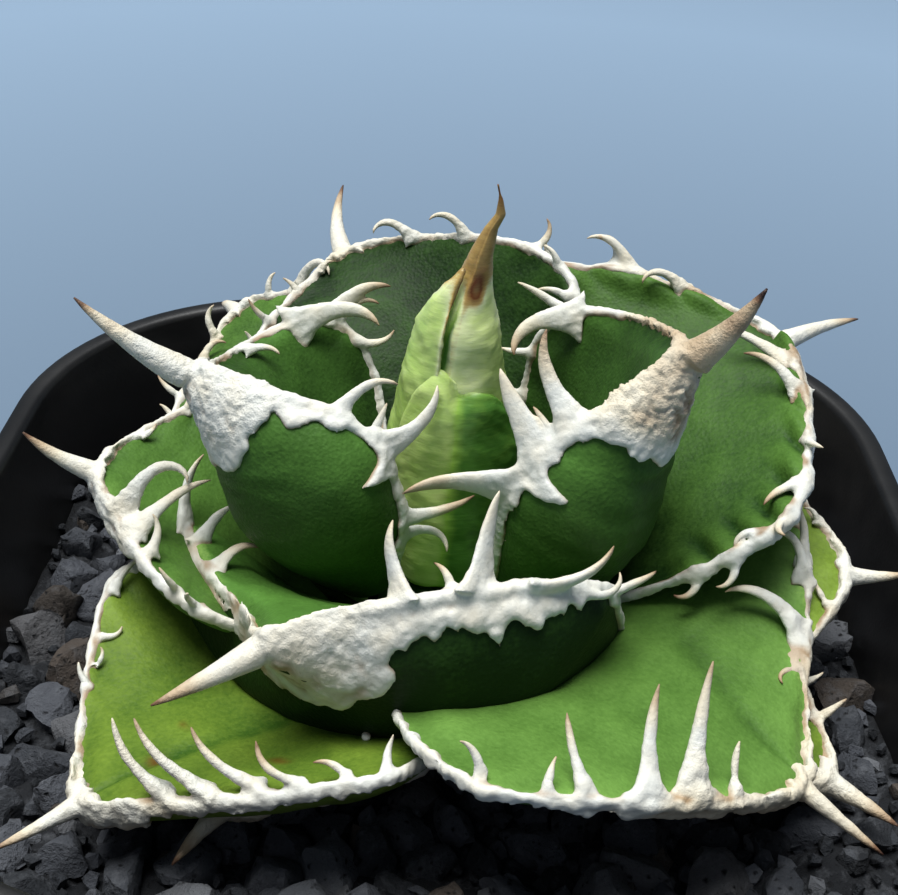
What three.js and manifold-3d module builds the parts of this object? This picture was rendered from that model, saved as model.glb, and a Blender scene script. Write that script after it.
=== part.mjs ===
// A potted Agave titanota: a rosette of thick cupped leaves with white horny margins and claws,
// in a rounded square plastic pot filled with lava grit. Millimetres, +Z up.
// The origin is the middle of the pot's foot, on the surface that it stands on.
import * as THREE from 'three';
import { mergeVertices } from 'three/addons/utils/BufferGeometryUtils.js';
import Module from 'manifold-3d';

const wasm = await Module();
wasm.setup();

// Driving dimensions in millimetres and degrees.
const pot = {
  height: 104,
  rimHalf: 60,
  rimCorner: 36,
  footHalf: 42.5,
  footCorner: 28,
  wall: 2,
  floor: 3,
  lipDepth: 6,
  lipWidth: 3.2,
  footRing: 5,
  footLift: 2.5,
  drainRadius: 4,
  drainReach: 22,
};
const soil = {
  below: 13,
  dip: 6.5,
  dipRadius: 50,
  relief: 1.6,
  stone: 9,
  cells: 20,
  clear: 0.3,
  wallClear: 0.9,
};
const stem = { radius: 8, root: 14, top: 9.5 };
const margin = { width: 2, stripGap: 0.4, capGap: 0.5, proud: 0.35, edge: 1.6, wrap: 0.9 };
const seat = 0.35;
const clawClear = 0.3;

// Each leaf: turn is its compass direction seen from above, foot its start (out from the axis,
// above the grit), rise its pitch at base, middle and tip. Pairs are left and right, seen from
// the plant looking out. A tooth is [at, reach, lean, lift, curl, hook]: its place along the
// margin, its length, its lean towards the leaf tip, its lift off the blade, and how much lean
// and lift change from its root to its point. Leaves come in the order that they grew, youngest
// first, and an older leaf gives way where a younger one sits on it.
const leaves = {
  leafA: {
    turn: 192, sweep: -10, foot: [9, 9], length: 35, rise: [66, 72, 28], half: [14, 25], cup: [88, 82],
    twist: 32, taper: 1.5, thick: 11, back: 0.8, drop: 0.1, spine: [15, 6, -6],
    left: [
      [0.68, 8.5, -40, 24, -60, -35], [0.54, 10, 15, 20, 55, 15],
      [0.3, 9, 15, 12, 20, 10], [0.22, 7.5, -5, 0, -80, -70],
    ],
    right: [
      [0.7, 12.5, -110, 35, -70, -15], [0.6, 10.5, -55, 23, -60, 13], [0.57, 7.5, -45, 20, -85, 13],
      [0.5, 6.5, -35, 23, 75, 10],
    ],
  },
  leafB: {
    turn: 335, sweep: 8, foot: [9, 6], length: 43, rise: [69, 88, 46], half: [24, 10], cup: [85, 70],
    twist: -3, taper: 1.5, thick: 11, back: 0.76, drop: 0.1, spine: [11, 6, 0],
    left: [
      [0.69, 11, -125, 41, -105, -30], [0.66, 8.5, -35, 34, -10, 10], [0.5, 5, -20, 30, 30, 0],
    ],
    right: [
      [0.74, 11.5, 30, 56, 65, -20], [0.68, 5, 5, 55, -20, -5], [0.64, 10.5, 20, 47, 20, -5],
      [0.52, 12.5, -20, 1, -15, -30],
    ],
  },
  leafI: {
    turn: 112, sweep: 0, foot: [8, 6], length: 44.5, rise: [44, 48, 10], half: [18, 28.5], cup: [42, 60],
    twist: -20, taper: 1.6, thick: 7, spine: [15, 11, -31],
    left: [
      [0.76, 5.5, -20, 35, 40, 10], [0.52, 5, -10, 35, 40, 10],
    ],
    right: [
      [0.91, 7.5, 95, 30, 110, -50], [0.82, 7.5, 76, 40, 120, -20], [0.7, 6, -10, 0, 70, 50],
    ],
  },
  leafC: {
    turn: 252, sweep: -35, foot: [10, 3], length: 33, rise: [55, 58, -10], half: [26, 31], cup: [38, 36],
    twist: 38, taper: 1.15, neck: 0.95, peak: 0.38, thick: 14, back: 0.8, drop: 0.12, spine: [12, -5, -12],
    left: [
      [0.76, 8.5, -15, 80, -140, -25], [0.64, 10.5, -35, 63, 0, -15], [0.55, 10, -50, 13, 20, 42],
      [0.46, 6.5, -45, 5, 45, 100], [0.34, 6.5, -10, 5, -60, 30],
    ],
    right: [
      [0.64, 12, 165, 45, -55, -55], [0.53, 13, -150, 72, -125, -10], [0.45, 10, -62, 58, -40, 40],
      [0.41, 6.5, -36, 30, -50, 80], [0.3, 6, -40, 45, 40, 20],
    ],
  },
  leafH: {
    turn: 30, sweep: -4, foot: [9, 5.5], length: 47, rise: [36, 45, 15], half: [29, 27], cup: [50, 27],
    twist: 9, taper: 1.6, thick: 7, spine: [12, -19, 1],
    left: [
      [0.88, 8, -115, 22, -95, -50], [0.8, 9.5, -72, 20, -50, -25], [0.76, 7.5, -50, 25, -150, 35],
      [0.66, 5, -30, 30, 40, 0], [0.56, 6, 0, 35, -60, 10],
    ],
    right: [
      [0.96, 11, 150, 25, 20, -10], [0.9, 9.5, 145, 35, 50, -25], [0.7, 5.5, -143, 15, 20, -15],
    ],
  },
  leafE: {
    turn: 174, sweep: 11, foot: [9, 2.5], length: 37.5, rise: [14, 43, 22], half: [21, 22], cup: [30, 46],
    twist: -4, taper: 1.6, thick: 6.5, spine: [9, 11, -4],
    left: [
      [0.9, 12, -175, 42, 125, -90], [0.85, 11, 175, 47, 35, -15], [0.78, 5, 90, 55, -80, -30],
      [0.66, 5, 20, 30, 60, 0], [0.55, 5, 40, 25, -60, 20],
    ],
    right: [
      [0.7, 5, -10, 30, 40, 0],
    ],
  },
  leafF: {
    turn: 312, sweep: 15, foot: [9, 6], length: 44, rise: [24, 8, -20], half: [33, 30], cup: [38, 15],
    twist: -12, taper: 1.25, thick: 7, spine: [10, -5, 6],
    left: [
      [0.79, 11.5, -175, 20, -50, -40], [0.7, 10, -145, 28, -115, -50],
      [0.67, 8.5, -100, 35, -35, 0], [0.5, 5, 20, 30, -40, 20],
    ],
    right: [
      [0.7, 7.5, -155, 47, -10, 12], [0.78, 10.5, 175, 56, -15, 12], [0.84, 13, 170, 56, -5, 12],
      [0.56, 4.5, -90, 50, 60, -40],
    ],
  },
  leafK: {
    turn: 84, sweep: 0, foot: [9, 4], length: 43, rise: [22, 34, 5], half: [17, 18], cup: [35, 35],
    twist: 6, taper: 1.5, thick: 6.5, spine: [10, 8, 6],
  },
  leafD: {
    turn: 230, sweep: -7, foot: [8, 1], length: 45, rise: [4, 16, -2], half: [25, 26], cup: [28, 50],
    twist: 18, taper: 1.25, thick: 7, spine: [9, 0, -5],
    left: [
      [0.88, 10, 110, 60, 70, 27], [0.82, 11, 95, 53, 30, 30], [0.75, 9.5, 95, 50, 27, 33],
      [0.69, 7, 102, 50, 70, 30],
    ],
    right: [
      [0.6, 7.5, -110, 27, -40, 0],
    ],
  },
  leafG: {
    turn: 359, sweep: -6, foot: [9, 3.5], length: 41.5, rise: [16, 17, 4], half: [28, 26], cup: [35, 27],
    twist: 16, taper: 1.3, thick: 6.5, spine: [7, 8, 10],
    left: [
      [0.68, 5.5, -40, 30, -60, 20],
    ],
    right: [
      [0.72, 5, 120, 40, 60, -20],
    ],
  },
  leafJ: {
    turn: 130, sweep: -7, foot: [9, 3], length: 49, rise: [23, 40, -5], half: [19, 17], cup: [29, 30],
    twist: -32, taper: 1.6, thick: 6.5, spine: [9, -24, -12],
    left: [
      [0.93, 6, 76, 50, 105, -35], [0.85, 5.5, 130, 20, 50, -40], [0.74, 5, 10, 35, 40, 0],
      [0.52, 5, 0, 35, 40, 0],
    ],
    right: [
      [0.86, 11, -85, 25, -80, -40], [0.65, 5, 0, 30, -40, 0],
    ],
  },
  leafL: {
    turn: 236, sweep: 2, foot: [9, 1.5], length: 31.5, rise: [0, 2, -4], half: [17, 17], cup: [26, 26],
    twist: 4, taper: 1.4, thick: 5, spine: [8, -6, 4],
  },
  leafM: {
    turn: 52, sweep: -4, foot: [9, 1], length: 46, rise: [6, 14, 0], half: [22, 22], cup: [30, 28],
    twist: -8, taper: 1.4, thick: 6, spine: [9, 4, -6],
  },
  leafQ: {
    turn: 327, sweep: 0, foot: [9, 2.5], length: 43, rise: [3, 9, -6], half: [20, 20], cup: [22, 22],
    twist: -5, taper: 1.4, thick: 5, spine: [8, -4, -4],
  },
};
const ruledReach = 5.5;

// The bud in the middle, as [height above the grit, lean to the right, half width].
const bud = {
  body: [[10, 0, 6.4], [20, 0.2, 6.7], [28, 0.5, 6.3], [36, 0.8, 5.4], [42, 1, 4.1], [46.5, 1.5, 2.4]],
  spine: [[46.8, 1.5, 2.2], [50, 2.2, 1.5], [53, 3, 0.95], [54.5, 3.9, 0.65], [58, 3.9, 0.12]],
  sides: 10,
};
const wrap = { from: 100, to: 292, low: 26, high: 46, thick: 1.1, gap: 0.7 };
const sheath = { from: 175, to: 390, low: 10.5, high: 35, thick: 1.6, gap: 0.8 };

const colours = {
  pot: 0x141414,
  grit: 0x3a3836,
  stem: 0x6d7350,
  blade: 0x4f8a3c,
  horn: 0xe9e6dd,
  bud: 0xa9c77a,
  budSpine: 0xb08a4e,
};

const radians = THREE.MathUtils.degToRad;
const mix = THREE.MathUtils.lerp;
const clamp = THREE.MathUtils.clamp;

function direction(pitch, yaw) {
  const level = Math.cos(pitch);
  return new THREE.Vector3(level * Math.cos(yaw), level * Math.sin(yaw), Math.sin(pitch));
}

// A small seeded random source, so every build gives the same plant.
function seeded(seed) {
  let state = seed;
  return () => {
    state = (state * 1664525 + 1013904223) % 4294967296;
    return state / 4294967296;
  };
}

// Turns rings of equal length into a closed body. An end is laid like rungs between the ring's
// two sides, which suits flat sections as well as round ones.
function loft(rings) {
  const count = rings[0].length;
  const index = [];
  for (let r = 0; r + 1 < rings.length; r += 1) {
    for (let k = 0; k < count; k += 1) {
      const a = r * count + k;
      const b = r * count + ((k + 1) % count);
      index.push(a, b, a + count, b, b + count, a + count);
    }
  }
  const last = (rings.length - 1) * count;
  for (let low = 0, high = count - 1; low + 1 < high; low += 1, high -= 1) {
    index.push(low, high, low + 1, last + low, last + low + 1, last + high);
    if (low + 1 < high - 1) {
      index.push(low + 1, high, high - 1, last + low + 1, last + high - 1, last + high);
    }
  }
  return closed(rings.flat(), index);
}

// A closed body between an upper and a lower grid of points, both split into triangles alike.
function slab(upper, lower) {
  const rows = upper.length;
  const columns = upper[0].length;
  const points = [...upper.flat(), ...lower.flat()];
  const under = rows * columns;
  const at = (i, j) => i * columns + j;
  const index = [];
  const quad = (a, b, c, d) => index.push(a, b, c, a, c, d);
  for (let i = 0; i + 1 < rows; i += 1) {
    for (let j = 0; j + 1 < columns; j += 1) {
      quad(at(i, j), at(i + 1, j), at(i + 1, j + 1), at(i, j + 1));
      index.push(under + at(i, j), under + at(i + 1, j + 1), under + at(i + 1, j));
      index.push(under + at(i, j), under + at(i, j + 1), under + at(i + 1, j + 1));
    }
  }
  for (let i = 0; i + 1 < rows; i += 1) {
    quad(at(i, 0), under + at(i, 0), under + at(i + 1, 0), at(i + 1, 0));
    const j = columns - 1;
    quad(at(i + 1, j), under + at(i + 1, j), under + at(i, j), at(i, j));
  }
  for (let j = 0; j + 1 < columns; j += 1) {
    quad(at(0, j + 1), under + at(0, j + 1), under + at(0, j), at(0, j));
    const i = rows - 1;
    quad(at(i, j), under + at(i, j), under + at(i, j + 1), at(i, j + 1));
  }
  return closed(points, index);
}

// A geometry from points and triangles. Points in one place become one, triangles that this
// leaves flat go, and a body whose volume comes out negative is turned outside out.
function closed(points, index) {
  const places = [];
  const known = new Map();
  const ids = points.map((p) => {
    const key = p.toArray().map((value) => Math.round(value * 1e4)).join();
    if (!known.has(key)) {
      known.set(key, places.length);
      places.push(p);
    }
    return known.get(key);
  });
  const kept = [];
  for (let k = 0; k < index.length; k += 3) {
    const [a, b, c] = [ids[index[k]], ids[index[k + 1]], ids[index[k + 2]]];
    if (a !== b && b !== c && c !== a) {
      kept.push([a, b, c]);
    }
  }
  const geometry = new THREE.BufferGeometry();
  const numbers = places.flatMap((p) => p.toArray());
  geometry.setAttribute('position', new THREE.Float32BufferAttribute(numbers, 3));
  geometry.setIndex(kept.flat());
  if (volume(geometry) < 0) {
    geometry.setIndex(kept.flatMap(([a, b, c]) => [a, c, b]));
  }
  return geometry;
}

function volume(geometry) {
  const place = geometry.getAttribute('position');
  const index = geometry.getIndex().array;
  const corner = [new THREE.Vector3(), new THREE.Vector3(), new THREE.Vector3()];
  let sum = 0;
  for (let k = 0; k < index.length; k += 3) {
    corner.forEach((c, n) => c.fromBufferAttribute(place, index[k + n]));
    sum += corner[0].dot(corner[1].clone().cross(corner[2])) / 6;
  }
  return sum;
}

function toSolid(geometry) {
  const bare = geometry.clone();
  bare.deleteAttribute('normal');
  bare.deleteAttribute('uv');
  const merged = mergeVertices(bare, 1e-4);
  return new wasm.Manifold(new wasm.Mesh({
    numProp: 3,
    vertProperties: new Float32Array(merged.getAttribute('position').array),
    triVerts: new Uint32Array(merged.getIndex().array),
  }));
}

// The largest connected body of a solid: what a cut leaves loose is dropped.
function toGeometry(solid) {
  const mesh = solid.getMesh();
  const faces = Array.from(mesh.triVerts);
  const leader = Array.from({ length: mesh.vertProperties.length / 3 }, (_, k) => k);
  const find = (k) => {
    let top = k;
    while (leader[top] !== top) {
      top = leader[top];
    }
    leader[k] = top;
    return top;
  };
  for (let k = 0; k < faces.length; k += 3) {
    leader[find(faces[k + 1])] = find(faces[k]);
    leader[find(faces[k + 2])] = find(faces[k]);
  }
  const groups = new Map();
  for (let k = 0; k < faces.length; k += 3) {
    const top = find(faces[k]);
    if (!groups.has(top)) {
      groups.set(top, []);
    }
    groups.get(top).push(faces[k], faces[k + 1], faces[k + 2]);
  }
  const bodies = [...groups.values()].map((index) => {
    const used = [...new Set(index)];
    const order = new Map(used.map((id, k) => [id, k]));
    const points = used.map((id) => new THREE.Vector3().fromArray(mesh.vertProperties, 3 * id));
    return closed(points, index.map((id) => order.get(id)));
  });
  return bodies.sort((one, other) => volume(other) - volume(one))[0];
}

// The form of one leaf: its midrib, and any point of its upper or lower face.
class LeafForm {
  constructor(spec) {
    this.spec = { neck: 0.42, peak: 0.55, top: 0.92, back: 0.87, drop: 0.07, ...spec };
    this.steps = 60;
    this.frames = [];
    const { turn, foot, length, rise, sweep, twist } = this.spec;
    const [out, height] = foot;
    const place = new THREE.Vector3(out * Math.cos(radians(turn)), out * Math.sin(radians(turn)), height);
    let before = null;
    for (let k = 0; k <= this.steps; k += 1) {
      const s = k / this.steps;
      const pitch = radians((1 - s) ** 2 * rise[0] + 2 * s * (1 - s) * rise[1] + s * s * rise[2]);
      const yaw = radians(turn + sweep * s);
      const along = direction(pitch, yaw);
      const level = new THREE.Vector3(-Math.sin(yaw), Math.cos(yaw), 0);
      const up = along.clone().cross(level);
      const roll = radians(twist * s);
      const side = level.clone().multiplyScalar(Math.cos(roll)).addScaledVector(up, Math.sin(roll));
      const normal = up.clone().multiplyScalar(Math.cos(roll)).addScaledVector(level, -Math.sin(roll));
      if (before) {
        place.addScaledVector(before.clone().add(along), length / this.steps / 2);
      }
      before = along;
      this.frames.push({ place: place.clone(), along, side, normal });
    }
  }

  frame(s) {
    const x = clamp(s, 0, 1) * this.steps;
    const k = Math.min(Math.floor(x), this.steps - 1);
    const a = this.frames[k];
    const b = this.frames[k + 1];
    const blend = {};
    for (const key of ['place', 'along', 'side', 'normal']) {
      blend[key] = a[key].clone().lerp(b[key], x - k);
    }
    return blend;
  }

  // Half the leaf's width at s, on the left (1) or the right (-1).
  half(s, hand) {
    const { neck, peak, taper, half } = this.spec;
    const tipShare = 0.07;
    const x = clamp((s - peak) / (1 - peak), 0, 1);
    const share = s < peak ? neck + (1 - neck) * Math.sin((Math.PI / 2) * (s / peak)) : 1 - x ** taper;
    return (hand > 0 ? half[0] : half[1]) * (tipShare + (1 - tipShare) * share);
  }

  thickness(s, t) {
    const { thick } = this.spec;
    const tipThick = 3.4;
    const body = s < 0.45
      ? thick * (0.45 + 0.55 * Math.sin((Math.PI / 2) * (s / 0.45)))
      : thick - (thick - tipThick) * ((s - 0.45) / 0.55) ** 1.5;
    return margin.edge + (body - margin.edge) * (1 - Math.abs(t) ** 2.2) ** 0.8;
  }

  // The point at s along and v millimetres to the side, sunk into or raised off the upper face.
  point(s, v, raise = 0) {
    const hand = v < 0 ? 1 : 0;
    const f = this.frame(s);
    const cup = radians(this.spec.cup[hand] * (1 - 0.35 * s));
    const radius = this.spec.half[hand] / cup;
    const angle = Math.abs(v) / radius;
    const sign = Math.sign(v);
    const normal = f.normal.clone().multiplyScalar(Math.cos(angle));
    normal.addScaledVector(f.side, -sign * Math.sin(angle));
    return f.place.clone()
      .addScaledVector(f.side, sign * radius * Math.sin(angle))
      .addScaledVector(f.normal, radius * (1 - Math.cos(angle)))
      .addScaledVector(normal, raise);
  }

  // The margin's frame at s: its point, its run towards the tip, the way out and the way up.
  edge(s, hand) {
    const rim = (x) => this.point(x, hand * this.half(x, hand), -margin.edge / 2);
    const place = rim(s);
    const run = rim(s + 0.01).sub(rim(s - 0.01)).normalize();
    const lifted = this.point(s, hand * this.half(s, hand), 1);
    const up = lifted.sub(place).normalize();
    const out = up.clone().cross(run).multiplyScalar(hand).normalize();
    up.copy(run.clone().cross(out).multiplyScalar(hand)).normalize();
    return { place, run, out, up };
  }

  // Where the blade ends and the cap begins: near the tip above, further back underneath.
  end(t, lower) {
    const { top, back, drop } = this.spec;
    const middle = 1 - Math.min(Math.abs(t), 1);
    return lower ? back - drop * middle : mix(back, top, Math.min(middle * 2.5, 1));
  }
}

// The grid of a blade: its columns as shares of the half width, and its rows. The cap's rim ends
// just short of the leaf's tip, and the room of a leaf just past it.
const columns = [-1, -0.8, -0.4, 0, 0.4, 0.8, 1];
const bladeRows = 6;
const capRows = 2;
const capTip = 0.985;
const roomTip = 1.01;

// The sideways place of a blade column: the blade stops short of the margin, which is narrower
// where the leaf is narrow.
function inner(form, s, t) {
  const half = form.half(s, t < 0 ? -1 : 1);
  return t * Math.max(half - margin.width, 0.6 * half);
}

// The leaf between its faces, from the base to the cap. A swell moves its faces, sides and end
// outwards. With its rim it also takes in the margins and runs on to the tip.
function bladeBody(form, swell = 0, withRim = false) {
  const across = withRim ? [-2, ...columns, 2] : columns;
  const column = (t, lower) => {
    const end = form.end(t, lower) + swell / form.spec.length;
    const places = Array.from({ length: bladeRows + 1 }, (_, i) => (end * i) / bladeRows);
    if (withRim) {
      for (let i = 1; i <= capRows; i += 1) {
        places.push(mix(end, roomTip, i / capRows));
      }
    }
    return places.map((s) => {
      const hand = Math.sign(t);
      const rim = Math.abs(t) > 1;
      const v = rim ? hand * (form.half(s, hand) + swell) : inner(form, s, t) + 0.6 * swell * t;
      if (!lower) {
        return form.point(s, v, swell);
      }
      const wrapped = Math.abs(t) >= 1 && withRim ? margin.edge + margin.wrap : 0;
      const depth = Math.max(form.thickness(s, Math.min(Math.abs(t), 1)), wrapped);
      return form.point(s, v, -depth - swell);
    });
  };
  const grid = (lower) => {
    const lines = across.map((t) => column(t, lower));
    return lines[0].map((_, i) => lines.map((line) => line[i]));
  };
  return slab(grid(false), grid(true));
}

// The horny strip along one margin. Its rows lie beside the blade's, and the last is in the cap.
function stripBody(form, hand) {
  const rings = [];
  const intoCap = 0.04;
  for (let i = 1; i <= bladeRows + 1; i += 1) {
    const s = form.spec.back * Math.min(i / bladeRows, 1) + (i > bladeRows ? intoCap : 0);
    const half = form.half(s, hand);
    const start = Math.abs(inner(form, s, hand)) + margin.stripGap;
    rings.push([
      form.point(s, hand * start, margin.proud * 0.3),
      form.point(s, hand * mix(start, half, 0.55), margin.proud),
      form.point(s, hand * half, -margin.edge / 2),
      form.point(s, hand * start, -margin.edge - margin.wrap),
    ]);
  }
  return loft(rings);
}

// The corky cap over the leaf's tip, drawn out into the terminal spine.
function capBody(form) {
  const gap = margin.capGap / form.spec.length;
  const upward = [-2, ...columns, 2];
  const downward = columns.toReversed();
  const rings = [];
  for (let i = 0; i < capRows; i += 1) {
    const place = (t, lower) => {
      const rim = Math.abs(t) > 1;
      const s = mix(form.end(t, lower) + gap, capTip, i / capRows);
      const hand = Math.sign(t);
      if (rim) {
        return form.point(s, hand * form.half(s, hand), -margin.edge / 2);
      }
      const v = inner(form, s, t);
      return form.point(s, v, lower ? -form.thickness(s, Math.abs(t)) - margin.proud : margin.proud);
    };
    rings.push([...upward.map((t) => place(t, false)), ...downward.map((t) => place(t, true))]);
  }
  const count = rings[0].length;
  spineRings(form, count / 2, 0).forEach((ring) => {
    rings.push(Array.from({ length: count }, (_, k) => ring[Math.floor(k / 2)]));
  });
  return loft(rings);
}

// A ring of points round a centre, flattened between two directions.
function ringAt(centre, wide, flat, halfWide, halfFlat, count) {
  const ring = [];
  for (let k = 0; k < count; k += 1) {
    const angle = Math.PI - (2 * Math.PI * k) / count;
    ring.push(centre.clone()
      .addScaledVector(wide, halfWide * Math.cos(angle))
      .addScaledVector(flat, halfFlat * Math.sin(angle)));
  }
  return ring;
}

// The rings of the end spine: [length, change of pitch, change of direction up to its point].
function spineRings(form, sides, grow) {
  const [length, rise, sweep] = form.spec.spine;
  const { along, side, normal } = form.frame(1);
  const rings = [];
  const steps = 4;
  const rootRadius = 1.8;
  const tipRadius = 0.14;
  const centre = form.point(1, 0, -rootRadius);
  const pitch = Math.asin(clamp(along.z, -1, 1));
  const yaw = Math.atan2(along.y, along.x);
  for (let k = 0; k <= steps; k += 1) {
    const u = k / steps;
    const radius = rootRadius * (1 - u) ** 0.85 + tipRadius + grow;
    rings.push(ringAt(centre, side, normal, radius, radius, sides));
    centre.addScaledVector(direction(pitch + radians(rise * u), yaw + radians(sweep * u)), length / steps);
  }
  return rings;
}

// One flattened claw of the margin. Its width direction is carried along its path without twist.
function toothBody(form, hand, [at, reach, lean, lift, curl, hook], grow = 0) {
  const { place, run, out, up } = form.edge(at, hand);
  const inward = Math.abs(lean) > 80;
  const centre = place.clone()
    .addScaledVector(out, -margin.width * 0.4)
    .addScaledVector(up, inward ? 0.7 : 0);
  const footHalf = 0.7 + 0.22 * reach;
  const flatHalf = Math.min(0.8, 0.4 + 0.05 * reach);
  const point = 0.12;
  const stops = reach > 6 ? [0, 0.35, 0.7, 1] : [0, 0.5, 1];
  const way = (u) => {
    const turned = radians(lean + curl * (u - 0.5));
    const raised = radians(lift + hook * (u - 0.5));
    return out.clone().multiplyScalar(Math.cos(turned) * Math.cos(raised))
      .addScaledVector(run, Math.sin(turned) * Math.cos(raised))
      .addScaledVector(up, Math.sin(raised));
  };
  const rootTurn = radians(lean - curl / 2);
  const wide = run.clone().multiplyScalar(Math.cos(rootTurn)).addScaledVector(out, -Math.sin(rootTurn));
  const rings = [];
  let before = 0;
  stops.forEach((u) => {
    centre.addScaledVector(way((u + before) / 2), reach * (u - before));
    before = u;
    const heading = way(u);
    wide.addScaledVector(heading, -wide.dot(heading)).normalize();
    const flat = heading.clone().cross(wide);
    const share = (1 - u) ** 0.9;
    const halfWide = footHalf * share + point + grow;
    const halfFlat = flatHalf * share ** 0.6 + point + grow;
    rings.push(ringAt(centre, wide, flat, halfWide, halfFlat, 3));
  });
  return loft(rings);
}

// Teeth by rule, for a margin that has none listed: large and small in turn, leaning both ways.
function ruledTeeth(random) {
  const teeth = [];
  for (let at = 0.4; at < 0.88; at += 0.18) {
    const big = teeth.length % 2 === 0;
    teeth.push([
      at + 0.03 * (random() - 0.5),
      ruledReach * (big ? 0.9 + 0.4 * random() : 0.5 + 0.2 * random()),
      big ? -35 + 40 * random() : 20 * random(),
      20 + 30 * random(),
      60 * (random() - 0.4),
      20,
    ]);
  }
  return teeth;
}

function teethOf(form, name) {
  const random = seeded([...name].reduce((sum, c) => sum * 31 + c.charCodeAt(0), 7));
  const { left, right } = form.spec;
  return [
    ...(left ?? ruledTeeth(random)).map((tooth) => [1, tooth]),
    ...(right ?? ruledTeeth(random)).map((tooth) => [-1, tooth]),
  ];
}

function joined(geometries) {
  return geometries.map(toSolid).reduce((sum, solid) => sum.add(solid));
}

// The claws are trimmed to stay clear of the blade that they lean over.
function hornBody(form, teeth) {
  const clear = toSolid(bladeBody(form, clawClear));
  const rim = joined([capBody(form), stripBody(form, 1), stripBody(form, -1)]);
  const claws = teeth.map(([hand, tooth]) => toSolid(toothBody(form, hand, tooth)).subtract(clear));
  return claws.reduce((sum, claw) => sum.add(claw), rim);
}

// The room that a leaf takes up, with a seat's gap all round.
function roomOf(form, teeth) {
  const claws = teeth.map(([hand, tooth]) => toothBody(form, hand, tooth, seat));
  const body = bladeBody(form, margin.proud + seat, true);
  return joined([body, loft(spineRings(form, 6, seat)), ...claws]);
}

// Distance from the middle of a rounded square to its outline, along a direction.
function squareReach(half, corner, angle) {
  const x = Math.abs(Math.cos(angle));
  const y = Math.abs(Math.sin(angle));
  const flat = half / Math.max(x, y);
  if (Math.min(x, y) * flat <= half - corner) {
    return flat;
  }
  const c = half - corner;
  const along = c * (x + y);
  return along + Math.sqrt(along ** 2 - 2 * c ** 2 + corner ** 2);
}

function squareRing(half, corner, z, count) {
  const ring = [];
  for (let k = 0; k < count; k += 1) {
    const angle = (2 * Math.PI * (k + 0.5)) / count;
    const reach = squareReach(half, corner, angle);
    ring.push(new THREE.Vector3(reach * Math.cos(angle), reach * Math.sin(angle), z));
  }
  return ring;
}

// Half width and corner radius of the pot's outer wall at height z.
function potAt(z) {
  const share = z / pot.height;
  const topHalf = pot.rimHalf - pot.lipWidth + pot.wall;
  return [mix(pot.footHalf, topHalf, share), mix(pot.footCorner, pot.rimCorner, share)];
}

function potBody() {
  const count = 28;
  const ring = (inset, z) => {
    const [half, corner] = potAt(z);
    return squareRing(half - inset, corner - inset, z, count);
  };
  const lip = (inset, z) => squareRing(pot.rimHalf - inset, pot.rimCorner - inset, z, count);
  const top = pot.height;
  const body = loft([
    ring(pot.wall, pot.footLift + pot.floor),
    ring(pot.wall, top - 3),
    lip(pot.lipWidth, top - 0.8),
    lip(pot.lipWidth - 0.8, top),
    lip(0.9, top),
    lip(0, top - 1),
    lip(0.2, top - pot.lipDepth),
    ring(0, top - pot.lipDepth - 0.6),
    ring(0, 1),
    ring(0.8, 0),
    ring(pot.footRing, 0),
    ring(pot.footRing + 0.5, pot.footLift),
  ]);
  let solid = toSolid(body);
  const drain = new THREE.CylinderGeometry(pot.drainRadius, pot.drainRadius, 4 * pot.floor, 12);
  drain.rotateX(Math.PI / 2);
  for (let k = 0; k < 4; k += 1) {
    const centre = direction(0, (Math.PI / 2) * k + Math.PI / 4).multiplyScalar(pot.drainReach);
    const hole = drain.clone();
    hole.translate(centre.x, centre.y, pot.footLift + pot.floor / 2);
    solid = solid.subtract(toSolid(hole));
  }
  return solid;
}

const soilTop = pot.height - soil.below;

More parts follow.
